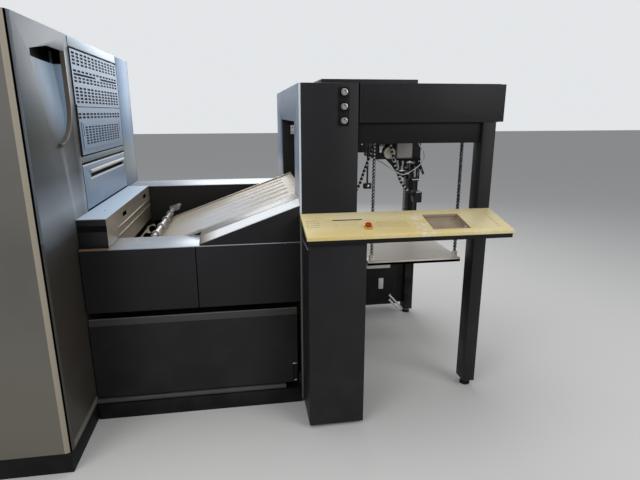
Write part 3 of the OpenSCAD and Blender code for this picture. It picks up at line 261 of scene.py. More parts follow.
def band(axis, low, high, colour, *soft):
    """A mark from low to high along one axis, None leaves a side open."""
    corners = (tuple(limit if name == axis else None for name in "XYZ") for limit in (low, high))
    return (*corners, colour, *soft)


def marked(finish, body, marks):
    """Paints marked places over a colour, and tells where they are pitch black, mostly painted shade, and
    where painted another colour.
    """
    hollow = painted = 0
    for low, high, other, *soft in marks:
        mask = finish.within(low, high, *soft)
        body = finish.mix(mask, body, other)
        if other is PITCH:
            hollow = mask + hollow
        else:
            painted = mask + painted
    return body, hollow, painted


def powder_coat(name, colour, roughness, peel=0.35, amount=0.22, shine=0.3, marks=()):
    """Satin powder coat with orange peel, slow clouds, dust near the floor and marked places."""
    finish = Finish(name, colour, roughness, shine=shine)
    cloud = finish.noise(2.2, 4.0)
    grime = grime_on(finish, (0.02, 0.75), 9.0, (0.42, 0.78))
    body = finish.mix(cloud.between(0.35, 0.7), colour, tuple(c * 1.22 + 0.002 for c in colour))
    body, hollow, _ = marked(finish, finish.mix(grime * amount, body, DUST), marks)
    # Pitch black marks, mostly painted shade, are made metallic and rough so that they mirror nothing.
    if isinstance(hollow, Wire):
        finish.feed(Metallic=hollow)
    rough = cloud * 0.14 + (roughness - 0.07) + grime * 0.25 + hollow * 0.5
    return finish.feed(Base_Color=body, Roughness=rough,
                       Normal=finish.bump(finish.noise(620.0, 2.0), 0.00012, peel))


def dark_coat(name, colour, roughness, marks=()):
    """Dark powder coat, which shows little dust and mirrors little."""
    return powder_coat(name, colour, roughness, amount=0.05, shine=0.16, marks=marks)


def brushed(name, colour, roughness, metallic, streaks, depth=0.26, foot=None, marks=()):
    """Brushed or lacquered sheet with fine streaks, a foot of another colour and marked places."""
    finish = Finish(name, colour, roughness, metallic)
    cloud = finish.noise(1.7)
    fine = finish.noise(9.0, 6.0, stretch=streaks)
    grime = grime_on(finish, (0.05, 0.85), 7.0, (0.4, 0.8))
    darker, lighter = (tuple(c * part for c in colour) for part in (1 - depth, 1 + depth * 0.6))
    body = finish.mix(fine.between(0.25, 0.75) * 0.6 + cloud * 0.4, darker, lighter)
    if foot:
        start, end, other = foot
        height = finish.along("Z") + cloud * 0.3
        body = finish.mix(1 - height.between(start + 0.15, end + 0.15), body, other)
    body = finish.mix(grime * 0.2, body, OLD_DUST)
    body, hollow, painted = marked(finish, body, marks)
    # Pitch black marks, mostly painted shade, are made metallic and rough so that they mirror nothing, and
    # other painted marks lose their metal.
    if marks:
        finish.feed(Metallic=metallic - painted * metallic + hollow * (1 - metallic))
    wiped = fine * 0.16 + cloud * 0.1 + (roughness - 0.13)
    return finish.feed(Base_Color=body, Roughness=wiped + painted * 0.15 + hollow * 0.5,
                       Normal=finish.bump(fine, 0.0002, 0.25))


def lacquered(name, colour, roughness=0.46, streaks=UPRIGHT, **more):
    """Metallic lacquer on sheet."""
    return brushed(name, colour, roughness, 0.35, streaks, **more)


BLACK, ANTHRACITE = (0.0065, 0.0064, 0.0068), (0.015, 0.0148, 0.016)
# The first is a painted highlight on a rounded corner, the second a brown-grey painted reflection low on the
# feeder's front.
CORNER_HIGHLIGHT, REFLECTED_BROWN_GREY = (0.34, 0.3, 0.235), (0.15, 0.14, 0.12)
SILVER, DARK_SILVER, PAINTED_LIT_SILVER = (0.245, 0.322, 0.425), (0.096, 0.115, 0.136), (0.27, 0.35, 0.45)
# Shiny sheet is painted brown towards the bottom, fading out between about 1.0 and 1.3 m up: a painted
# reflection of the room.
REFLECTED_BROWN_FOOT = (1.0, 1.3, (0.052, 0.044, 0.035))
# A pale patch in the middle of the feed board: a painted reflection of a window.
PAINTED_SHEEN = ((-0.18, -0.45, None), (0.3, 0.14, None), (0.47, 0.475, 0.48), 0.14)
face_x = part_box("near_end_panel")[1][0]
corner_x, SEAM_Y, LACQUER_Y = face_x - 0.034, -1.0365, -1.0285
PAINTS = {
    "cover_grey": powder_coat("warm_grey_coat", (0.12, 0.112, 0.098), 0.48, marks=[
        band("Z", None, 0.6, (0.158, 0.146, 0.118), 0.3),
        # A painted highlight on the cover's rounded corner, then painted shade in the seam beside it.
        ((corner_x, None, None), (None, SEAM_Y, None), CORNER_HIGHLIGHT),
        ((corner_x, SEAM_Y, None), (None, LACQUER_Y, None), PITCH),
        ((corner_x, LACQUER_Y, None), (None, -1.0, None), DARK_SILVER),
        ((corner_x, LACQUER_Y, None), (None, -1.0, 1.15), (0.062, 0.058, 0.052))]),
    "dark_cover": dark_coat("anthracite_coat", ANTHRACITE, 0.44, [
        # Painted shade in the joint between the feeder's columns and beams.
        ((0.809, None, 1.4), (0.815, None, 1.8495), PITCH)]),
    "black_metal": dark_coat("matt_black_coat", BLACK, 0.55),
    "head_grey": powder_coat("cast_grey_coat", (0.075, 0.073, 0.074), 0.45, peel=0.6),
    "panel_silver": lacquered("silver_lacquer", SILVER, foot=REFLECTED_BROWN_FOOT),
    "rail_steel": brushed("rail_sheet", (0.46, 0.5, 0.55), 0.34, 0.7, ALONG_X),
    "plate_steel": brushed("worn_plate", (0.4, 0.39, 0.38), 0.34, 0.8, ALONG_Y),
    # The feed board carries the painted reflection of a window.
    "board_tan": brushed("board_sheet", (0.43, 0.375, 0.3), 0.44, 0.15, ALONG_X, 0.14, marks=[PAINTED_SHEEN]),
    "knob_metal": brushed("turned_metal", (0.5, 0.49, 0.47), 0.28, 1.0, ALONG_Y, 0.12),
}
print("Painted and brushed finishes:", ", ".join(PAINTS))

# %% [markdown]
# ## Cream desk, tapes, plastics and oiled steel
# The desk top is a thick cream lacquer that has yellowed in clouds and is speckled where it is
# worn. The tapes are woven, so two crossed waves give them their weave. The ribbed hoses are
# dark on their ribs and pale in the grooves, which an attribute on their own mesh tells.

# %% Desk, tape and plastic finishes
# The first mark is painted shade in the desk's thin slot.
DESK_MARKS = [((0.652, -0.7215, None), (0.815, -0.709, None), PITCH),
              ((1.1645, -0.8655, None), (1.3725, -0.679, None), (0.34, 0.28, 0.205))]
POCKET = ((1.16, -0.872, 1.07), (1.377, -0.67, None))


def cream_desk():
    """Cream lacquer, yellowed in clouds, worn pale at the pocket and finely speckled."""
    finish = Finish("cream_lacquer", (0.72, 0.62, 0.38), 0.45, shine=0.35)
    aged = finish.noise(3.2, 4.0, stretch=(0.6, 1.6, 1)).between(0.38, 0.66)
    speck = finish.noise(150.0).between(0.6, 0.7)
    wear_and_highlight = finish.noise(16.0, 6.0).between(0.54, 0.74)
    by_pocket = finish.within((1.08, None, None), (1.16, -0.68, None), 0.03)
    pale = by_pocket * finish.noise(34.0, 6.0).between(0.4, 0.62)
    body = finish.mix(aged, (0.765, 0.67, 0.405), (0.745, 0.58, 0.23))
    body = finish.mix(wear_and_highlight * 0.45, body, (0.66, 0.5, 0.17))
    body = finish.mix(pale * 0.7, body, (0.82, 0.79, 0.7))
    body = finish.mix(speck * 0.55, body, (0.33, 0.26, 0.15))
    return finish.feed(Base_Color=marked(finish, body, DESK_MARKS)[0], Roughness=wear_and_highlight * 0.12 + 0.4,
                       Normal=finish.bump(finish.noise(480.0, 2.0), 0.00015, 0.4))


def pocket_tray():
    """Black tray whose pocket is brown-grey, with paper crumbs along its front."""
    finish = Finish("pocket_tray", BLACK, 0.55, shine=0.2)
    front = 1 - finish.along("Y").between(-0.796, -0.78)
    crumbs = front * finish.noise(130.0).between(0.5, 0.54)
    floor = finish.mix(finish.noise(12.0).between(0.3, 0.7), (0.28, 0.225, 0.165), (0.38, 0.3, 0.215))
    floor = finish.mix(crumbs, floor, (0.7, 0.68, 0.6))
    return finish.feed(Base_Color=finish.mix(finish.within(*POCKET), BLACK, floor))


def woven_tape():
    """Plain weave of a conveyor tape."""
    finish = Finish("woven_tape", (0.48, 0.44, 0.38), 0.7, shine=0.3)
    warp, weft = (finish.node("ShaderNodeTexWave", {"Vector": finish.where, "Scale": 260.0},
                              out="Fac", bands_direction=way) for way in "XY")
    thread = warp * weft
    body = finish.mix(thread, (0.41, 0.36, 0.29), (0.45, 0.395, 0.32))
    # The painted reflection of the window on the board goes on over the tapes.
    return finish.feed(Base_Color=marked(finish, body, [PAINTED_SHEEN])[0],
                       Normal=finish.bump(thread, 0.0003, 0.6))


def moulded(name, colour, roughness, grain=0.2, groove=None):
    """Moulded plastic or rubber with worn patches, and another colour in grooves if given."""
    finish = Finish(name, colour, roughness, shine=0.4)
    patch = finish.noise(24.0, 4.0)
    body = finish.mix(patch.between(0.3, 0.7), tuple(c * 0.78 for c in colour), colour)
    if groove:
        body = finish.mix(finish.crest().between(0.3, 0.7), groove, body)
    return finish.feed(Base_Color=body, Roughness=patch * 0.18 + (roughness - 0.09),
                       Normal=finish.bump(finish.noise(900.0, 2.0), 0.0001, grain))


def oiled_steel():
    """Dark oiled chain steel with brown grease in its low places, and pins painted pale as their highlights.
    """
    finish = Finish("oiled_steel", (0.035, 0.034, 0.036), 0.34, 0.9)
    grease = finish.noise(90.0, 4.0).between(0.45, 0.72)
    body = finish.mix(grease, (0.06, 0.06, 0.064), (0.014, 0.011, 0.009))
    return finish.feed(Base_Color=finish.mix(finish.crest(), body, (0.62, 0.61, 0.58)),
                       Roughness=grease * 0.3 + 0.24, Metallic=1 - grease * 0.7)


PAINTS.update(
    desk_cream=cream_desk(),
    tape_cloth=woven_tape(),
    button_red=moulded("red_plastic", (0.45, 0.012, 0.01), 0.32),
    base_yellow=moulded("yellow_plastic", (0.62, 0.4, 0.03), 0.4),
    hose_black=moulded("ribbed_rubber", (0.008, 0.008, 0.009), 0.5, groove=(0.72, 0.7, 0.66)),
    line_white=moulded("white_air_line", (0.93, 0.92, 0.89), 0.38),
    chain_black=oiled_steel())
RUBBER = moulded("black_rubber", (0.006, 0.006, 0.0065), 0.62, 0.5)
BRIGHT = brushed("bright_steel", (0.72, 0.73, 0.74), 0.24, 0.85, UPRIGHT, 0.1)
PALE = moulded("pale_plastic", (0.62, 0.61, 0.57), 0.42)
BEIGE_METAL = powder_coat("beige_cast", (0.9, 0.85, 0.72), 0.5)
KEY_FILM = moulded("key_film", (0.62, 0.53, 0.32), 0.5)
print("Finishes of the slots:", ", ".join(PAINTS))

# %% [markdown]
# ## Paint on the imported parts
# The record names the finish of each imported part, so one loop paints them all.

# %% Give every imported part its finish
SLOT_OF = {part["node"]: part["material_slot"] for part in frame["record"]["subparts"]}
for name, node in frame["nodes"].items():
    node.data.materials.clear()
    node.data.materials.append(PAINTS[SLOT_OF[name]])
print("Painted", len(SLOT_OF), "packed parts")

# %% [markdown]
# ## Parts with a finish of their own
# Some parts are one sheet in one colour and yet look different from place to place, and most of the
# marks below paint light and shade onto them. The hood over the grab handle is a cavity painted black
# as shade with its scoop painted light, the top of the guard over the infeed carries a painted
# reflection and its near end painted shade, and the lifting plate is painted black along the foot of
# its front edge as shade. A box in the part's own coordinates marks each place.

# %% Special finishes
guard_low, (guard_x, _, guard_top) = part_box("infeed_guard")
plate_low, plate_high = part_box("lift_plate")
HOOD_FLOOR = 1.9365
bar_back, vent_back = face_x - 0.007, face_x - 0.0012
SPECIAL = {
    # Painted light and shade: a darker band on the face beside the scoop as painted shade, a lighter band
    # lower down as a painted reflection, the scoop floor painted light where light falls into it, and the
    # hood black as painted shade.
    "near_end_panel": lacquered("silver_with_hood", DARK_SILVER, 0.48, foot=REFLECTED_BROWN_FOOT, marks=[
        band("Z", 1.46, 1.7, (0.048, 0.049, 0.043), 0.11),
        band("Z", 1.17, 1.32, (0.26, 0.295, 0.335), 0.08),
        ((None, None, 1.5), (face_x - 0.011, -0.45, HOOD_FLOOR + 0.02), PAINTED_LIT_SILVER, 0.01),
        ((None, None, HOOD_FLOOR), (face_x - 0.0035, -0.462, 2.002), PITCH)]),
    # Where the handle's back stands in the scoop it is painted light like the lit scoop floor, and inside the
    # hood black as painted shade.
    "grab_handle": powder_coat("handle_bronze", (0.085, 0.068, 0.055), 0.36, shine=0.5, marks=[
        ((None, None, None), (bar_back, None, HOOD_FLOOR), PAINTED_LIT_SILVER),
        ((None, None, HOOD_FLOOR), (bar_back, None, None), PITCH)]),
    # Painted shade in the gap under the top cap and on the walls inside the vent holes.
    "upper_vent_guard": lacquered("vent_lacquer", SILVER, marks=[
        band("Z", 2.029, None, PITCH), band("X", None, vent_back, PITCH)]),
    "framed_vent_guard": lacquered("frame_lacquer", SILVER, marks=[band("X", None, vent_back, PITCH)]),
    # The feeder's end wall is painted with reflections of the room: a darker blue top, a lighter band, a pale
    # blue front face and a brown-grey front below 1.165 m.
    "feeder_end_panel": lacquered("wall_lacquer", SILVER, foot=REFLECTED_BROWN_FOOT, marks=[
        ((None, None, None), (None, -0.6125, 1.165), REFLECTED_BROWN_GREY),
        band("Z", 1.6, None, (0.15, 0.2, 0.275), 0.07),
        band("Z", 1.165, 1.36, (0.48, 0.49, 0.5), 0.05),
        ((None, None, 1.165), (None, -0.6125, None), (0.58, 0.63, 0.69))]),
    "far_end_panel": lacquered("far_lacquer", (0.13, 0.235, 0.385), 0.5, foot=REFLECTED_BROWN_FOOT, marks=[
        band("Z", 1.2, 1.5, (0.29, 0.31, 0.31), 0.1)]),
    "top_cap": lacquered("cap_lacquer", (0.52, 0.62, 0.7), streaks=ALONG_Y),
    "front_flap": dark_coat("flap_coat", ANTHRACITE, 0.44, [
        band("Z", 0.574, 0.6075, (0.052, 0.051, 0.05)),
        band("Z", 0.6075, None, (0.16, 0.15, 0.13)),
        # A painted shadow line beside the latch leaf.
        ((0.4395, None, 0.148), (0.4445, None, 0.264), PITCH)]),
    # The bar's coat is lighter than the black covers so that it stands for the highlight along its top:
    # painted light.
    "foot_bar": powder_coat("bar_coat", (0.045, 0.044, 0.046), 0.4, amount=0.05, shine=0.5),
    # Painted shade in the gaps above and below the strip.
    "guard_strip": lacquered("strip_lacquer", (0.215, 0.245, 0.28), streaks=ALONG_Y, marks=[
        band("Z", None, 1.433, PITCH), band("Z", 1.4655, None, PITCH)]),
    # Painted light and shade: a highlight on the top edge, a painted reflection on the front of the grip lip,
    # black as shade in the grip slot, a highlight on the slot's lower edge and shade in the gaps at both
    # ends.
    "swing_guard": lacquered("grip_lacquer", SILVER, 0.44, marks=[
        band("Z", 1.414, None, (0.62, 0.65, 0.69)),
        ((face_x + 0.0005, -0.226, 1.361), (None, 0.586, 1.385), (0.52, 0.51, 0.47)),
        ((None, -0.226, 1.3365), (None, 0.586, 1.361), PITCH),
        ((None, -0.235, 1.329), (None, 0.592, 1.3365), (0.62, 0.63, 0.64)),
        band("Y", None, -0.3565, PITCH), band("Y", 0.6265, None, PITCH)]),
    # Painted light and shade: a pale blue painted reflection on the top, the near end face near black as
    # painted shade, and painted shade inside the holes.
    "infeed_guard": brushed("infeed_lacquer", (0.3, 0.26, 0.205), 0.4, 0.5, ALONG_Y, marks=[
        band("Z", guard_top - 0.0005, None, (0.46, 0.56, 0.68)),
        ((None, None, None), (guard_x - 0.006, guard_low[1] + 0.004, guard_top - 0.004), (0.003,) * 3),
        ((None, None, 1.094), (guard_x - 0.0055, None, 1.128), PITCH)]),
    "front_rail": brushed("front_rail_sheet", (0.46, 0.5, 0.55), 0.34, 0.6, ALONG_X, marks=[
        band("X", None, -0.525, (0.21, 0.125, 0.075))]),
    "back_rail": brushed("back_rail_sheet", (0.4, 0.44, 0.49), 0.42, 0.5, ALONG_X),
    # The bright band along the plate's lower edge is a painted highlight.
    "slope_plate": brushed("slope_sheet", (0.29, 0.29, 0.29), 0.38, 0.35, ALONG_X, marks=[
        band("Y", None, -0.5565, (0.8, 0.83, 0.85)),
        band("X", None, -0.005, (0.17, 0.145, 0.12), 0.045)]),
    "wheel_bar": brushed("bar_and_arms", (0.46, 0.45, 0.43), 0.34, 0.6, ALONG_Y, marks=[
        band("X", None, -0.366, PITCH),
        *(((None, y - 0.004, None), (-0.335, y + 0.022, None), PITCH)
          for y in (-0.273, -0.069, 0.135, 0.339))]),
    "table_bed": powder_coat("bed_black", (0.012, 0.01, 0.009), 0.6, shine=0.2),
    "back_cover": powder_coat("dark_brown_coat", (0.023, 0.0205, 0.0165), 0.5, amount=0.12, shine=0.2),
    "back_post": powder_coat("post_black", (0.0075, 0.0072, 0.007), 0.6, shine=0.12),
    "suction_head": powder_coat("head_black", (0.013, 0.0125, 0.0125), 0.42, peel=0.6, marks=[
        ((1.1685, None, 1.4125), (1.2765, None, 1.545), (0.15, 0.146, 0.146))]),
    "desk_tray": pocket_tray(),
    # Painted shade along the foot of the plate's front face.
    "lift_plate": brushed("lift_sheet", (0.92, 0.83, 0.71), 0.38, 0.1, ALONG_X, marks=[
        ((None, None, None), (None, plate_low[1] + 0.0035, plate_low[2] + 0.016), PITCH)]),
}
for name, material in SPECIAL.items():
    frame["nodes"][name].data.materials[0] = material
print("Own finishes for", ", ".join(SPECIAL))

# %% [markdown]
# ## Soft edges on folded covers
# Sheet covers are bent on a press brake, so an edge is a small radius that catches the light as
# a thin line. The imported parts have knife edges. A cleaned copy of each with a bevel of a few
# millimetres, put in its place, gives that line without changing the cover's size.

# %% Covers with bent edges
SMOOTH = math.radians(35)


def pick(*pieces):
    """Makes these pieces the only selected ones, and the first of them active."""
    bpy.ops.object.select_all(action="DESELECT")
    for piece in pieces:
        piece.select_set(True)
    bpy.context.view_layer.objects.active = pieces[0]
    return pieces[0]


def edit_all(piece):
    """Opens a piece in edit mode with all of its mesh selected."""
    pick(piece)
    bpy.ops.object.mode_set(mode="EDIT")
    bpy.ops.mesh.select_all(action="SELECT")


def leave_edit():
    """Goes back to object mode."""
    bpy.ops.object.mode_set(mode="OBJECT")


def use_modifier(piece, kind, **settings):
    """Adds a modifier and applies it."""
    pick(piece)
    made = piece.modifiers.new(kind.lower(), kind)
    for key, value in settings.items():
        setattr(made, key, value)
    bpy.ops.object.modifier_apply(modifier=made.name)


def bent_cover(node, radius):
    """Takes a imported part's place: a cleaned copy of it whose sharp edges are rounded."""
    original = frame["nodes"][node]
    cover = original.copy()
    cover.data = original.data.copy()
    cover.name = cover.data.name = node + "_cover"
    for key in [k for k in cover.keys() if k.startswith("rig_")]:
        del cover[key]
    cover.parent = None
    bpy.context.scene.collection.objects.link(cover)
    edit_all(cover)
    bpy.ops.mesh.remove_doubles(threshold=0.00002)
    bpy.ops.mesh.dissolve_limited(angle_limit=math.radians(1))
    leave_edit()
    use_modifier(cover, "BEVEL", width=radius, segments=2, limit_method="ANGLE",
                 angle_limit=math.radians(50), use_clamp_overlap=True)
    bpy.ops.object.shade_smooth_by_angle(angle=SMOOTH)
    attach(cover, original["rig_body"])
    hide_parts(node)


EDGE_RADII = {
    0.003: ("operator_cover", "drive_cover", "near_end_panel", "far_end_panel", "front_column", "back_column",
            "side_panel_left", "side_panel_right", "front_flap", "front_beam", "back_beam", "infeed_guard",
            "desk_cabinet"),
    0.002: ("front_post", "back_post", "slope_cover", "back_cover", "swing_guard", "front_valance",
            "top_cap", "guard_strip", "drive_box", "lift_plate", "coupling_wall", "feeder_end_panel"),
    0.0015: ("suction_head", "feeder_lid"),
    0.001: ("front_rail", "back_rail", "slope_plate", "feed_board", "unit_plinth", "table_plinth",
            "grab_handle", "knob_plate"),
    0.005: ("desk_top", "desk_tray"),
}
for radius, names in EDGE_RADII.items():
    for name in names:
        bent_cover(name, radius)
print("Rounded the edges of", sum(map(len, EDGE_RADII.values())), "covers")

# %% [markdown]
# ## Helpers for turned and flat pieces
# Most small pieces of a press are turned on a lathe or cut from bar. A disc that is extruded up
# its axis and scaled ring by ring gives any turned piece, and a bevelled cube gives a bar.
# Each helper leaves the place in the mesh, so that the finished object sits at the origin.

# %% Helpers
def settled(piece):
    """Moves a piece's place, turn and scale into its mesh."""
    pick(piece)
    bpy.ops.object.transform_apply(location=True, rotation=True, scale=True)
    return piece


def bar(low, high, bevel=0.0, segments=2):
    """A bar between two corners whose edges are bevelled."""
    bpy.ops.mesh.primitive_cube_add(size=1, location=[(a + b) / 2 for a, b in zip(low, high)],
                                    scale=[b - a for a, b in zip(low, high)])
    made = settled(bpy.context.object)
    if bevel:
        edit_all(made)
        bpy.ops.mesh.bevel(offset=bevel, segments=segments, affect="EDGES")
        leave_edit()
    return made


def strut(start, end, height, thick):
    """A flat bar from one point to another in the XZ plane, thick along Y."""
    start, end = Vector(start), Vector(end)
    run = end - start
    made = bar((0, -thick / 2, -height / 2), (run.length, thick / 2, height / 2), 0.001)
    made.data.transform(Matrix.Translation(start) @ Matrix.Rotation(-math.atan2(run.z, run.x), 4, "Y"))
    return made


def turned(profile, sides, place=None):
    """A turned piece along +Z: a disc goes up and takes each (radius, height), in millimetres."""
    (radius, height), *rest = [(wide / 1000, high / 1000) for wide, high in profile]
    bpy.ops.mesh.primitive_circle_add(vertices=sides, radius=radius, fill_type="NGON",
                                      location=(0, 0, height))
    made = settled(bpy.context.object)
    edit_all(made)
    for wide, high in rest:
        bpy.ops.mesh.extrude_region_move(TRANSFORM_OT_translate={"value": (0, 0, high - height)})
        bpy.ops.transform.resize(value=(wide / radius, wide / radius, 1), center_override=(0, 0, high))
        radius, height = wide, high
    bpy.ops.mesh.select_all(action="SELECT")
    bpy.ops.mesh.normals_make_consistent(inside=False)
    leave_edit()
    if place:
        made.data.transform(place)
    return made


def copied(piece, place):
    """A copy with its own mesh, moved by a matrix."""
    made = piece.copy()
    made.data = piece.data.copy()
    made.data.transform(place)
    bpy.context.scene.collection.objects.link(made)
    return made


def joined(pieces):
    """Several pieces as one object."""
    made = pick(*pieces)
    if len(pieces) > 1:
        bpy.ops.object.join()
    return made


def dressed(piece, name, slot, paint=None):
    """Names and paints a piece, with its slot's paint unless another is given, and smooths its round faces.
    """
    made = pick(piece)
    made.name = made.data.name = name
    made.data.materials.clear()
    made.data.materials.append(paint or PAINTS[slot])
    bpy.ops.object.shade_smooth_by_angle(angle=SMOOTH)
    return made


def finished(pieces, name, slot, body="root", stands_for=(), paint=None):
    """Joins and dresses pieces and lets the result ride on its body."""
    made = dressed(joined(pieces if isinstance(pieces, list) else [pieces]), name, slot, paint)
    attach(made, body)
    if stands_for:
        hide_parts(*stands_for)
    return made


def at(x, y, z, turn=0.0, axis="X"):
    """A place, with a turn in degrees round one axis."""
    return Matrix.Translation((x, y, z)) @ Matrix.Rotation(math.radians(turn), 4, axis)


def on_front(y, across, heights):
    """Places that face the operator, at each x and z."""
    return [at(x, y, z, 90) for x in across for z in heights]


HEAD = [(3.4, 0), (3.4, 1), (2.6, 1.8), (1.2, 1.8)]


def screws(name, slot, places, profile=HEAD, sides=12):
    """Copies of one turned head at the given places."""
    head = turned(profile, sides)
    finished([copied(head, place) for place in places], name, slot)
    bpy.data.objects.remove(head)


print("Helpers are ready")

# %% [markdown]
# ## Control desk
# The desk carries three bare key fields: rows of low soft pads under a film. The stop button is
# a red mushroom that is pressed down into a yellow collar. Both are turned pieces, and each pad
# is one bevelled bar that is copied, because all pads come from the same tool.

# %% Keys and stop button
KNOB_X, FRONT_FACE, KNOB_HEIGHTS = 0.729, -0.6155, (1.803, 1.731, 1.659)
DESK = at(0.49, FRONT_FACE, 1.163, 12)
STOP = DESK @ at(0.333, -0.21, 0.0005)
KEY_STEP, KEY_ROW = 0.019, 0.024
KEY_FIELDS = [(0.024, 0.108, 4, 4), (0.398, 0.148, 9, 3), (1.046, 0.1, 1, 7)]
pad = bar((-0.0075, -0.0055, -0.0002), (0.0075, 0.0055, 0.0008), 0.0004, 1)
pads = [copied(pad, DESK @ at(left + KEY_STEP * i, -back - KEY_ROW * k, 0))
        for left, back, columns, rows in KEY_FIELDS for i in range(columns) for k in range(rows)]
print("The desk has", len(pads), "keys and a stop button")
bpy.data.objects.remove(pad)
finished(pads, "desk_keys", "desk_cream", paint=KEY_FILM)
mushroom = turned([(10, 6), (10, 15.8), (15.8, 16), (17, 17.5), (17, 21.5), (15.8, 24.3), (12.8, 26.2),
                   (8, 27.2), (3, 27.5)], 40, STOP)
finished(mushroom, "stop_mushroom", "button_red", "stop_button", ("stop_button",))
collar = turned([(21.8, 0), (22, 1.2), (22, 8), (20.5, 10), (13, 10), (10.8, 9.4), (10.6, 1.2)], 40, STOP)
finished(collar, "stop_collar", "base_yellow", stands_for=("stop_base",))

# %% [markdown]
# ## Air knobs
# Each air valve has a turned knob with a grooved rim, so that oily fingers hold it, and a dished
# front with a pointer line. Every second facet of the rim is pushed in to make the grooves.

# %% Grooved knobs
GROOVE_TURN = 15


def grooved_knob(centre_z, body):
    """A knob on the feeder's front that faces the operator, and the pointer on it."""
    place = at(KNOB_X, FRONT_FACE, centre_z, 90)
    spindle = turned([(5.5, 1), (5.5, 9.2)], 20, place)
    knob = turned([(12.5, 9), (16.8, 10), (17, 11.5), (17, 24.5), (16, 26.2), (12.5, 26.8), (11.5, 25.6),
                   (2, 25)], 48)
    edit_all(knob)
    bpy.ops.mesh.select_all(action="DESELECT")
    leave_edit()
    for face in knob.data.polygons:
        turn = math.degrees(math.atan2(face.center.y, face.center.x)) % GROOVE_TURN
        on_rim = face.center.xy.length > 0.016 and 0.012 < face.center.z < 0.024
        face.select = on_rim and turn < GROOVE_TURN / 2
    bpy.ops.object.mode_set(mode="EDIT")
    bpy.ops.mesh.inset(thickness=0.0003, depth=-0.0011, use_individual=True)
    leave_edit()
    knob.data.transform(place)
    line = bar((-0.0008, 0.0035, 0.0262), (0.0008, 0.0125, 0.0272), 0.0002, 1)
    line.data.transform(place)
    finished([knob, spindle], body + "_turned", "knob_metal", body, (body,))
    finished(line, body + "_pointer", "black_metal", body)


for number, height in enumerate(KNOB_HEIGHTS, 1):
    grooved_knob(height, f"air_knob_{number}")
print("Three air knobs are turned")

# %% [markdown]
# ## Roller chains of the pile lift
# The lifting plate hangs on four roller chains. A chain is one pair of links repeated: two inner
# plates with their rollers and two outer plates with their pins. One pair is modelled and an
# array repeats it. The chain pays out as the plate sinks.

# %% Chains
CHAIN_PITCH = 0.01905
END_REACH = 0.0085
BAR_HALF = 0.007


def link_plate(y, low, high):
    """A link plate with a waist: two discs and a narrower bar between them."""
    parts = [bar((-0.0045, y - 0.0011, low), (0.0045, y + 0.0011, high))]
    for z in (low, high):
        bpy.ops.mesh.primitive_cylinder_add(vertices=14, radius=0.0084, depth=0.0024, location=(0, y, z),
                                            rotation=(math.pi / 2, math.pi / 14, 0))
        parts.append(settled(bpy.context.object))
    return joined(parts)


def link_pair():
    """Inner plates and outer plates of two pitches with rollers and pins."""
    parts = [link_plate(side * 0.004, 0, CHAIN_PITCH) for side in (-1, 1)]
    parts += [link_plate(side * 0.0067, CHAIN_PITCH, 2 * CHAIN_PITCH) for side in (-1, 1)]
    for z in (0, CHAIN_PITCH):
        place = at(0, 0.0028, z, 90)
        parts.append(turned([(5.8, 0), (5.8, 5.6)], 10, place))
        pin = turned([(4.2, -5.8), (4.5, -5.2), (4.5, 10.8), (4.2, 11.4)], 10, place)
        # The pins are marked so that the chain's finish paints them pale, as their highlights.
        wear_and_highlight = pin.data.attributes.new("crest", "FLOAT", "POINT")
        wear_and_highlight.data.foreach_set("value", [1.0] * len(pin.data.vertices))
        parts.append(pin)
    return joined(parts)


def lift_chain(number, x, y, low, high, pair):
    """A chain of whole link pairs, drawn out a little so that it fills its height."""
    count = int((high - low - 2 * END_REACH) / (2 * CHAIN_PITCH))
    chain = copied(pair, at(x, y, low + END_REACH))
    use_modifier(chain, "ARRAY", count=count, use_relative_offset=False, use_constant_offset=True,
                 constant_offset_displace=(0, 0, 2 * CHAIN_PITCH))
    stretch = (high - low) / (max(v.co.z for v in chain.data.vertices) - low + 0.0001)
    for vertex in chain.data.vertices:
        vertex.co.z = low + (vertex.co.z - low) * stretch
    made = dressed(chain, f"roller_chain_{number}", "chain_black")
    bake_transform(made)
    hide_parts("lift_chains")


chain_low, chain_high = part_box("lift_chains")
pair = link_pair()
places = [(x, y) for x in (chain_low[0] + BAR_HALF, chain_high[0] - BAR_HALF)
          for y in (chain_low[1] + BAR_HALF, chain_high[1] - BAR_HALF)]
for number, (x, y) in enumerate(places, 1):
    lift_chain(number, x, y, chain_low[2], chain_high[2], pair)
bpy.data.objects.remove(pair)
lug_pins = [turned([(5, -1), (5, 20), (3.5, 21)], 16, at(x, y + 0.01, plate_high[2] - 0.014, 90))
            for x, y in places]
finished(lug_pins, "chain_pins", "knob_metal", "lift_plate")
print("Four chains of", CHAIN_PITCH * 1000, "mm pitch hang over the lifting plate")

# %% [markdown]
# ## Hoses of the feeder
# Two ribbed hoses and a thin air line hang between the shelf of the head, the side wall and the
# head's own boxes. Each is a fixed length that sags under its own weight, so it is swept along
# one smooth curve through the same listed points as its solid, with ribs at an even pitch.

# %% Hoses
SHELF = Vector((0.4895, 0.033, 1.5445))
RIB_PITCH, PLAIN_END = 0.026, 0.016
RIB = ((0.0012, 0.0), (0.009, 0.0), (0.0102, 1.0), (0.018, 1.0), (0.0257, 1.0))
ROUTES = {
    "side_hose": [(530, -228, 0), (522, -228, -50), (505, -223, -95), (484, -223, -148), (457, -223, -223),
                  (432, -223, -295), (395, -228, -347), (340, -238, -380), (270, -253, -393),
                  (190, -268, -390), (100, -278, -381), (11, -283, -375)],
    "head_hose": [(626, -233, 0), (631, -233, -53), (646, -233, -104), (657, -233, -151), (680, -233, -213),
                  (704, -233, -273), (732, -233, -313), (766, -232, -345), (800, -230, -365)],
    "air_line": [(798, -258, 0), (808, -258, -40), (836, -258, -80), (846, -258, -120), (826, -258, -160),
                 (775, -258, -200), (702, -258, -227), (616, -238, -179), (572, -203, -148),
                 (502, -178, -121)],
}


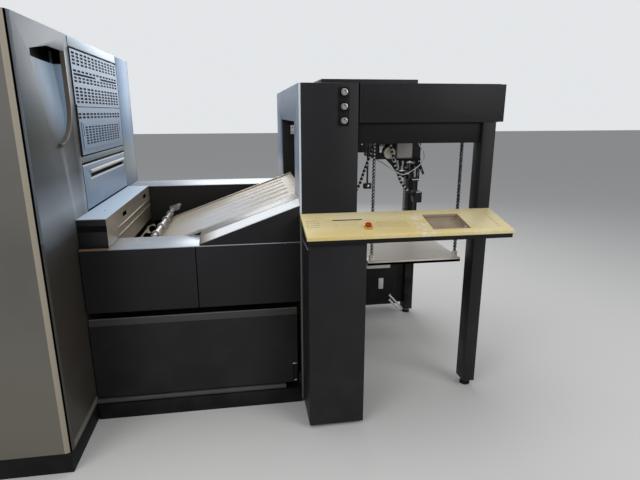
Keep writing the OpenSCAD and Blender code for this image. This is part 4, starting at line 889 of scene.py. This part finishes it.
def smooth_line(points, steps=16):
    """Points in metres along the smooth curve through a route in millimetres from the shelf."""
    stops = [SHELF + Vector(p) / 1000 for p in points]
    stops = [2 * stops[0] - stops[1], *stops, 2 * stops[-1] - stops[-2]]
    line = []
    for a, b, c, d in zip(stops, stops[1:], stops[2:], stops[3:]):
        for k in range(steps):
            t = k / steps
            bend = 2 * a - 5 * b + 4 * c - d + t * (3 * b - a - 3 * c + d)
            line.append(b + 0.5 * t * (c - a + t * bend))
    return line + [stops[-2]]


def line_length(line):
    """The length of a line of points."""
    return sum((b - a).length for a, b in zip(line, line[1:]))


def place_on(line, distance):
    """The point and direction at a distance along a line."""
    for a, b in zip(line, line[1:]):
        step = (b - a).length
        if distance <= step:
            return a + (b - a) * (distance / step), (b - a) / step
        distance -= step
    return line[-1], (line[-1] - line[-2]).normalized()


def swept_tube(line, rings, sides=14):
    """A closed tube with a ring at each (distance, radius, crest) along a line."""
    points, crests = [], []
    for distance, radius, crest in rings:
        middle, ahead = place_on(line, distance)
        across = ahead.cross(Vector((0, 1, 0))).normalized()
        up = across.cross(ahead)
        for k in range(sides):
            turn = 2 * math.pi * k / sides
            points.append(middle + radius * (math.cos(turn) * across + math.sin(turn) * up))
            crests.append(crest)
    last = (len(rings) - 1) * sides
    faces = [(i + k, i + (k + 1) % sides, i + sides + (k + 1) % sides, i + sides + k)
             for i in range(0, last, sides) for k in range(sides)]
    faces += [tuple(range(sides))[::-1], tuple(range(last, last + sides))]
    mesh = bpy.data.meshes.new("tube")
    mesh.from_pydata(points, [], faces)
    mesh.attributes.new("crest", "FLOAT", "POINT").data.foreach_set("value", crests)
    tube = linked("tube", mesh)
    edit_all(tube)
    bpy.ops.mesh.normals_make_consistent(inside=False)
    leave_edit()
    return tube


def even_rings(length, steps, radius):
    """Rings of one radius at even steps."""
    return [(length * k / steps, radius, 1.0) for k in range(steps + 1)]


def ribbed_rings(length, outer, groove):
    """Plain ends, and a rib at each pitch in between."""
    rings = [(0.0, outer, 1.0), (PLAIN_END, outer, 1.0)]
    for k in range(int((length - 2 * PLAIN_END) / RIB_PITCH)):
        start = PLAIN_END + k * RIB_PITCH
        rings += [(start + step, outer if crest else groove, crest) for step, crest in RIB]
    return rings + [(length, outer, 1.0)]


def hang(name, slot, diameter):
    line = smooth_line(ROUTES[name])
    length = line_length(line)
    if slot == "hose_black":
        rings = ribbed_rings(length, diameter / 2, diameter / 2 - 0.0011)
    else:
        rings = even_rings(length, 90, diameter / 2)
    hose = finished(swept_tube(line, rings), name + "_tube", slot, stands_for=(name,))
    return length


lengths = {name: hang(name, slot, wide) for name, slot, wide in (
    ("side_hose", "hose_black", 0.018), ("head_hose", "hose_black", 0.018),
    ("air_line", "line_white", 0.007))}
print("Hose lengths in metres:", {name: round(value, 3) for name, value in lengths.items()})

# %% [markdown]
# ## Seals, latch and small brackets
# The fixed guards close against the end panel with black rubber bars, which also stand in for the
# shade in the gap there and show as a broad dark line. The flap has a latch leaf that moves with it,
# and the window in the feeder's side wall carries a small pale bracket and a hook of bent wire. A plug
# closes a hole in the guard over the infeed. All but the hook and the plug are bars with a small bevel.

# %% Seals, latch, bracket and hook
# Black rubber bars along the guards' edges, which also stand in for the shade in the gaps.
seals = [bar((-0.7, -0.3648, low), (face_x + reach, -0.3612, high), bevel) for low, high, reach, bevel in (
    (1.474, 1.745, 0.011, 0.0006), (1.746, 2.034, 0.006, 0.0006), (2.035, 2.086, 0.0015, 0.0004))]
seals.append(bar((-0.7, 0.6314, 1.474), (face_x + 0.0008, 0.6346, 2.086), 0.0003))
finished(seals, "guard_seals", "black_metal", paint=RUBBER)
leaf = [bar((0.4445, -0.6188, 0.152), (0.463, -0.6149, 0.262), 0.0012)]
leaf += [turned([(3.2, 0), (3.2, 1), (2.2, 1.8)], 14, place)
         for place in on_front(-0.6187, [0.454], (0.18, 0.236))]
finished(leaf, "flap_latch", "black_metal", "front_flap")
bracket = [bar((0.471, -0.3762, 1.582), (0.499, -0.3732, 1.63), 0.001),
           bar((0.471, -0.3762, 1.582), (0.474, -0.36, 1.63), 0.001)]
finished(bracket, "window_bracket", "line_white", paint=PALE)
screws("bracket_screws", "black_metal", on_front(-0.3761, [0.48], (1.594, 1.618)))
hook_line = [Vector(p) / 1000 for p in (
    (505, -379, 1362), (500, -372, 1360), (495, -369, 1352), (493, -369, 1340), (497, -369, 1329),
    (506, -369, 1323), (516, -369, 1324))]
hook = swept_tube(hook_line, even_rings(line_length(hook_line), 24, 0.0022), 10)
finished(hook, "window_hook", "line_white", paint=PALE)
plug = turned([(6, 0), (6, 0.8), (4.5, 1.2)], 16, at(-0.594, -0.341, guard_top - 0.0002))
finished(plug, "guard_plug", "black_metal")
finished(bar((0.4965, -0.87, 1.027), (0.5012, -0.617, 1.031), 0.0008), "cabinet_ledge", "rail_steel")
edges = [bar((0.436, -0.6194, 0.26), (0.466, -0.615, 0.2642), 0.0006),
         bar((0.446, -0.6194, 0.15), (0.46, -0.615, 0.156), 0.0006)]
finished(edges, "latch_edges", "knob_metal", "front_flap", paint=BRIGHT)
print("Seals, latch, bracket, hook and plug are in place")

# %% [markdown]
# ## Screws, knob rings and levelling feet
# Covers are held by low screw heads, the knobs stand in black rings, and each post rests on a
# threaded foot with a nut. One head, one ring and one nut are turned and then copied, because
# on the press they are all the same bought part.

# %% Screws, rings and feet
RING = [(22.5, 0), (22.5, 1.6), (21.5, 2.6), (18.5, 2.6), (18, 0.6)]
NUT = [(16.5, 0), (17.5, 1.2), (17.5, 9.8), (16.5, 11)]
FEET = [(1.5595, -0.5625), (1.5595, 0.6285)]
screws("knob_rings", "chain_black", on_front(FRONT_FACE, [KNOB_X], KNOB_HEIGHTS), RING, 40)
screws("knob_screws", "knob_metal", on_front(-0.616, [0.7085], [z + 0.022 for z in KNOB_HEIGHTS]))
screws("wall_screws", "knob_metal", [at(-1.6379, y, z, -90, "Y") for z in (0.15, 0.75, 1.35, 1.95)
                                     for y in (-0.95, -0.35, 0.35, 0.95)], [(6, -2), (6, 0), (4, 0.1)])
screws("foot_nuts", "knob_metal", [at(x, y, 0.0125) for x, y in FEET], NUT, 6)
screws("beam_screws", "black_metal", on_front(-0.6148, (0.835, 1.612), (1.675, 1.822)))
print("Screws, rings and nuts are placed")

# %% [markdown]
# ## Drive box of the pile lift
# The motor housing behind the pile has a pale cover strip along its top, a bare plate and two
# bright bars that lean to its foot. They lie on its front face, because they are bolted to it.
# A slim dark guide of two bars stands beside the housing.

# %% Drive box front
box_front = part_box("drive_box")[0][1]
for name, left, right, low, high, thick, bevel in (
        ("drive_strip", 1.181, 1.394, 0.42, 0.474, 0.004, 0.0015),
        ("drive_plate", 1.297, 1.338, 0.234, 0.33, 0.003, 0.0012)):
    finished(bar((left, box_front - thick, low), (right, box_front + 0.001, high), bevel), name,
             "line_white", paint=PALE)
guide = [bar((1.4, 0.6, 0.4795), (1.466, 0.64, 0.79), 0.002),
         bar((1.4625, 0.604, 0.1), (1.5215, 0.64, 0.79), 0.002)]
finished(guide, "lift_guide", "black_metal")
struts = [strut((1.392, 0.5885, z), (1.392 + run, 0.5885, z - drop), 0.016, 0.005)
          for z, run, drop in ((0.178, 0.128, 0.142), (0.135, 0.08, 0.088))]
finished(struts, "guide_struts", "knob_metal", paint=BRIGHT)
print("Drive box has its strip and plate, and the guide beside it")

# %% [markdown]
# ## Works of the suction head
# The head lifts each sheet by its rear edge and passes it on. A pale cam disc sits on its side,
# small air cylinders and levers work in front of the lever plate, coil springs pull them back,
# and each sucker ends in a rubber bellows. Springs are swept along a helix.

# %% Cam disc, cover and blocks
HEAD_FRONT, LEVER_FRONT, WORKS_Y = -0.165, -0.15, -0.1585
LEVER_Y = WORKS_Y - 0.004
COVER_BACK, COVER_FRONT = HEAD_FRONT + 0.001, HEAD_FRONT - 0.004
cam = turned([(37.6, 0), (37.8, 1.6), (36.6, 3), (30, 3), (29.2, 1.2), (20.5, 1.2), (19.5, 3.2), (14, 3.6),
              (13.2, 9.2), (6, 9.6)], 48, at(1.1213, -0.1728, 1.45, 90))
finished(cam, "cam_disc", "knob_metal", paint=BEIGE_METAL)
finished(bar((1.174, COVER_FRONT, 1.418), (1.272, COVER_BACK, 1.541), 0.002), "head_side_cover",
         "head_grey", paint=powder_coat("head_cover_grey", (0.5, 0.48, 0.47), 0.42))
screws("head_screws", "knob_metal", on_front(COVER_FRONT, (1.181, 1.265), (1.425, 1.534)))
blocks = [bar((1.062, -0.145, 1.45), (1.096, -0.129, 1.506), 0.0025),
          bar((0.916, -0.2015, 1.533), (0.963, -0.199, 1.544), 0.0008),
          bar((0.927, -0.2025, 1.505), (0.938, -0.199, 1.517), 0.001),
          bar((0.979, -0.1675, 1.233), (0.993, -0.1645, 1.246), 0.001),
          bar((1.296, -0.2165, 1.196), (1.33, -0.212, 1.201), 0.001)]
finished(blocks, "head_bright_blocks", "knob_metal", paint=BRIGHT)
print("Cam disc, cover and", len(blocks), "blocks are on the head")

# %% Cylinders, springs and levers
def coil(x, y, low, high, radius=0.005, wire=0.0009, turns=7):
    """A tension spring along Z, swept along a helix."""
    steps = turns * 10
    line = [Vector((x + radius * math.cos(0.2 * math.pi * k), y + radius * math.sin(0.2 * math.pi * k),
                    low + (high - low) * k / steps)) for k in range(steps + 1)]
    return swept_tube(line, even_rings(line_length(line), steps, wire), 6)


CYLINDER = [(6, 0), (7.4, 1.2), (7.4, 56), (6, 57.5), (2.6, 57.5), (2.6, 70)]
PIVOT = [(5.2, -6), (5.2, 6), (4, 7.2), (1.8, 7.2)]
cylinders = [turned(CYLINDER, 20, at(x, WORKS_Y, z, tilt, "Y"))
             for x, z, tilt in ((1.186, 1.345, -6), (1.212, 1.34, 4), (1.3, 1.29, 0))]
cylinders += [bar((x, WORKS_Y - 0.006, z), (x + wide, LEVER_FRONT + 0.001, z + 0.008), 0.001)
              for x, z, wide in ((1.176, 1.33, 0.052), (1.24, 1.384, 0.04), (1.286, 1.27, 0.046))]
springs = [coil(x, WORKS_Y, low, high)
           for x, low, high in ((1.246, 1.318, 1.384), (1.262, 1.31, 1.384), (1.322, 1.292, 1.352))]
finished(cylinders + springs, "head_cylinders", "knob_metal", paint=BRIGHT)
levers = [strut((x, y, z), (end_x, y, end_z), height, thick) for x, z, end_x, end_z, y, height, thick in (
    (1.172, 1.398, 1.236, 1.352, LEVER_Y, 0.013, 0.005), (1.228, 1.344, 1.296, 1.318, LEVER_Y, 0.012, 0.005),
    (1.25, 1.306, 1.33, 1.372, WORKS_Y, 0.01, 0.005), (1.318, 1.398, 1.346, 1.33, LEVER_Y, 0.013, 0.006))]
levers.append(bar((1.172, WORKS_Y - 0.006, 1.4), (1.336, LEVER_FRONT + 0.001, 1.4115), 0.002))
print("The head has", len(cylinders), "cylinders and brackets and", len(levers), "levers")
finished(levers, "head_levers", "black_metal")
screws("head_pins", "knob_metal", [at(x, WORKS_Y - 0.002, z, 90) for x, z in (
    (1.178, 1.394), (1.232, 1.354), (1.291, 1.32), (1.256, 1.311), (1.326, 1.369), (1.321, 1.392),
    (1.343, 1.337))], PIVOT, 16)

# %% Bellows and collars of the suckers
SUCKER_X, SUCKER_Y = 1.299, [-0.104 + 0.0813 * k for k in range(4)]
FOLDS = [(radius, 5.5 + 4.2 * k) for k, radius in enumerate((12, 15) * 4)]
for name, slot, paint, sides, z, profile in (
        ("sucker_bellows", "hose_black", RUBBER, 28, 1.262, [(17.2, 0), (16.5, 3), *FOLDS, (11.8, 42)]),
        ("sucker_collars", "knob_metal", BRIGHT, 24, 1.372, [(11.2, 0), (13.5, 1), (13.5, 12), (11.2, 13)])):
    finished([turned(profile, sides, at(SUCKER_X, y, z)) for y in SUCKER_Y], name, slot, paint=paint)
print("The head has", len(SUCKER_Y), "bellows")

# %% [markdown]
# ## Collars of the hoses
# Each hose is held by a black clamp collar where it leaves the shelf and where it ends. The
# collars are turned rings round the hose's first and last few millimetres.

# %% Hose collars
CLAMP = 0.014


def collar_at(line, distance, radius):
    """A turned collar round a hose, from a distance along its line."""
    spot, ahead = place_on(line, distance)
    turn = ahead.to_track_quat("Z", "Y").to_matrix().to_4x4()
    wide, long = 1000 * radius, 1000 * CLAMP
    return turned([(wide - 3, 0), (wide, 1.5), (wide, long - 1.5), (wide - 3, long)], 24,
                  Matrix.Translation(spot) @ turn)


rings = []
for name in ROUTES:
    line, radius = smooth_line(ROUTES[name]), 0.006 if name == "air_line" else 0.0125
    rings += [collar_at(line, distance, radius) for distance in (0.0, line_length(line) - CLAMP)]
print(len(rings), "collars hold the hoses")
finished(rings, "hose_collars", "black_metal", paint=RUBBER)
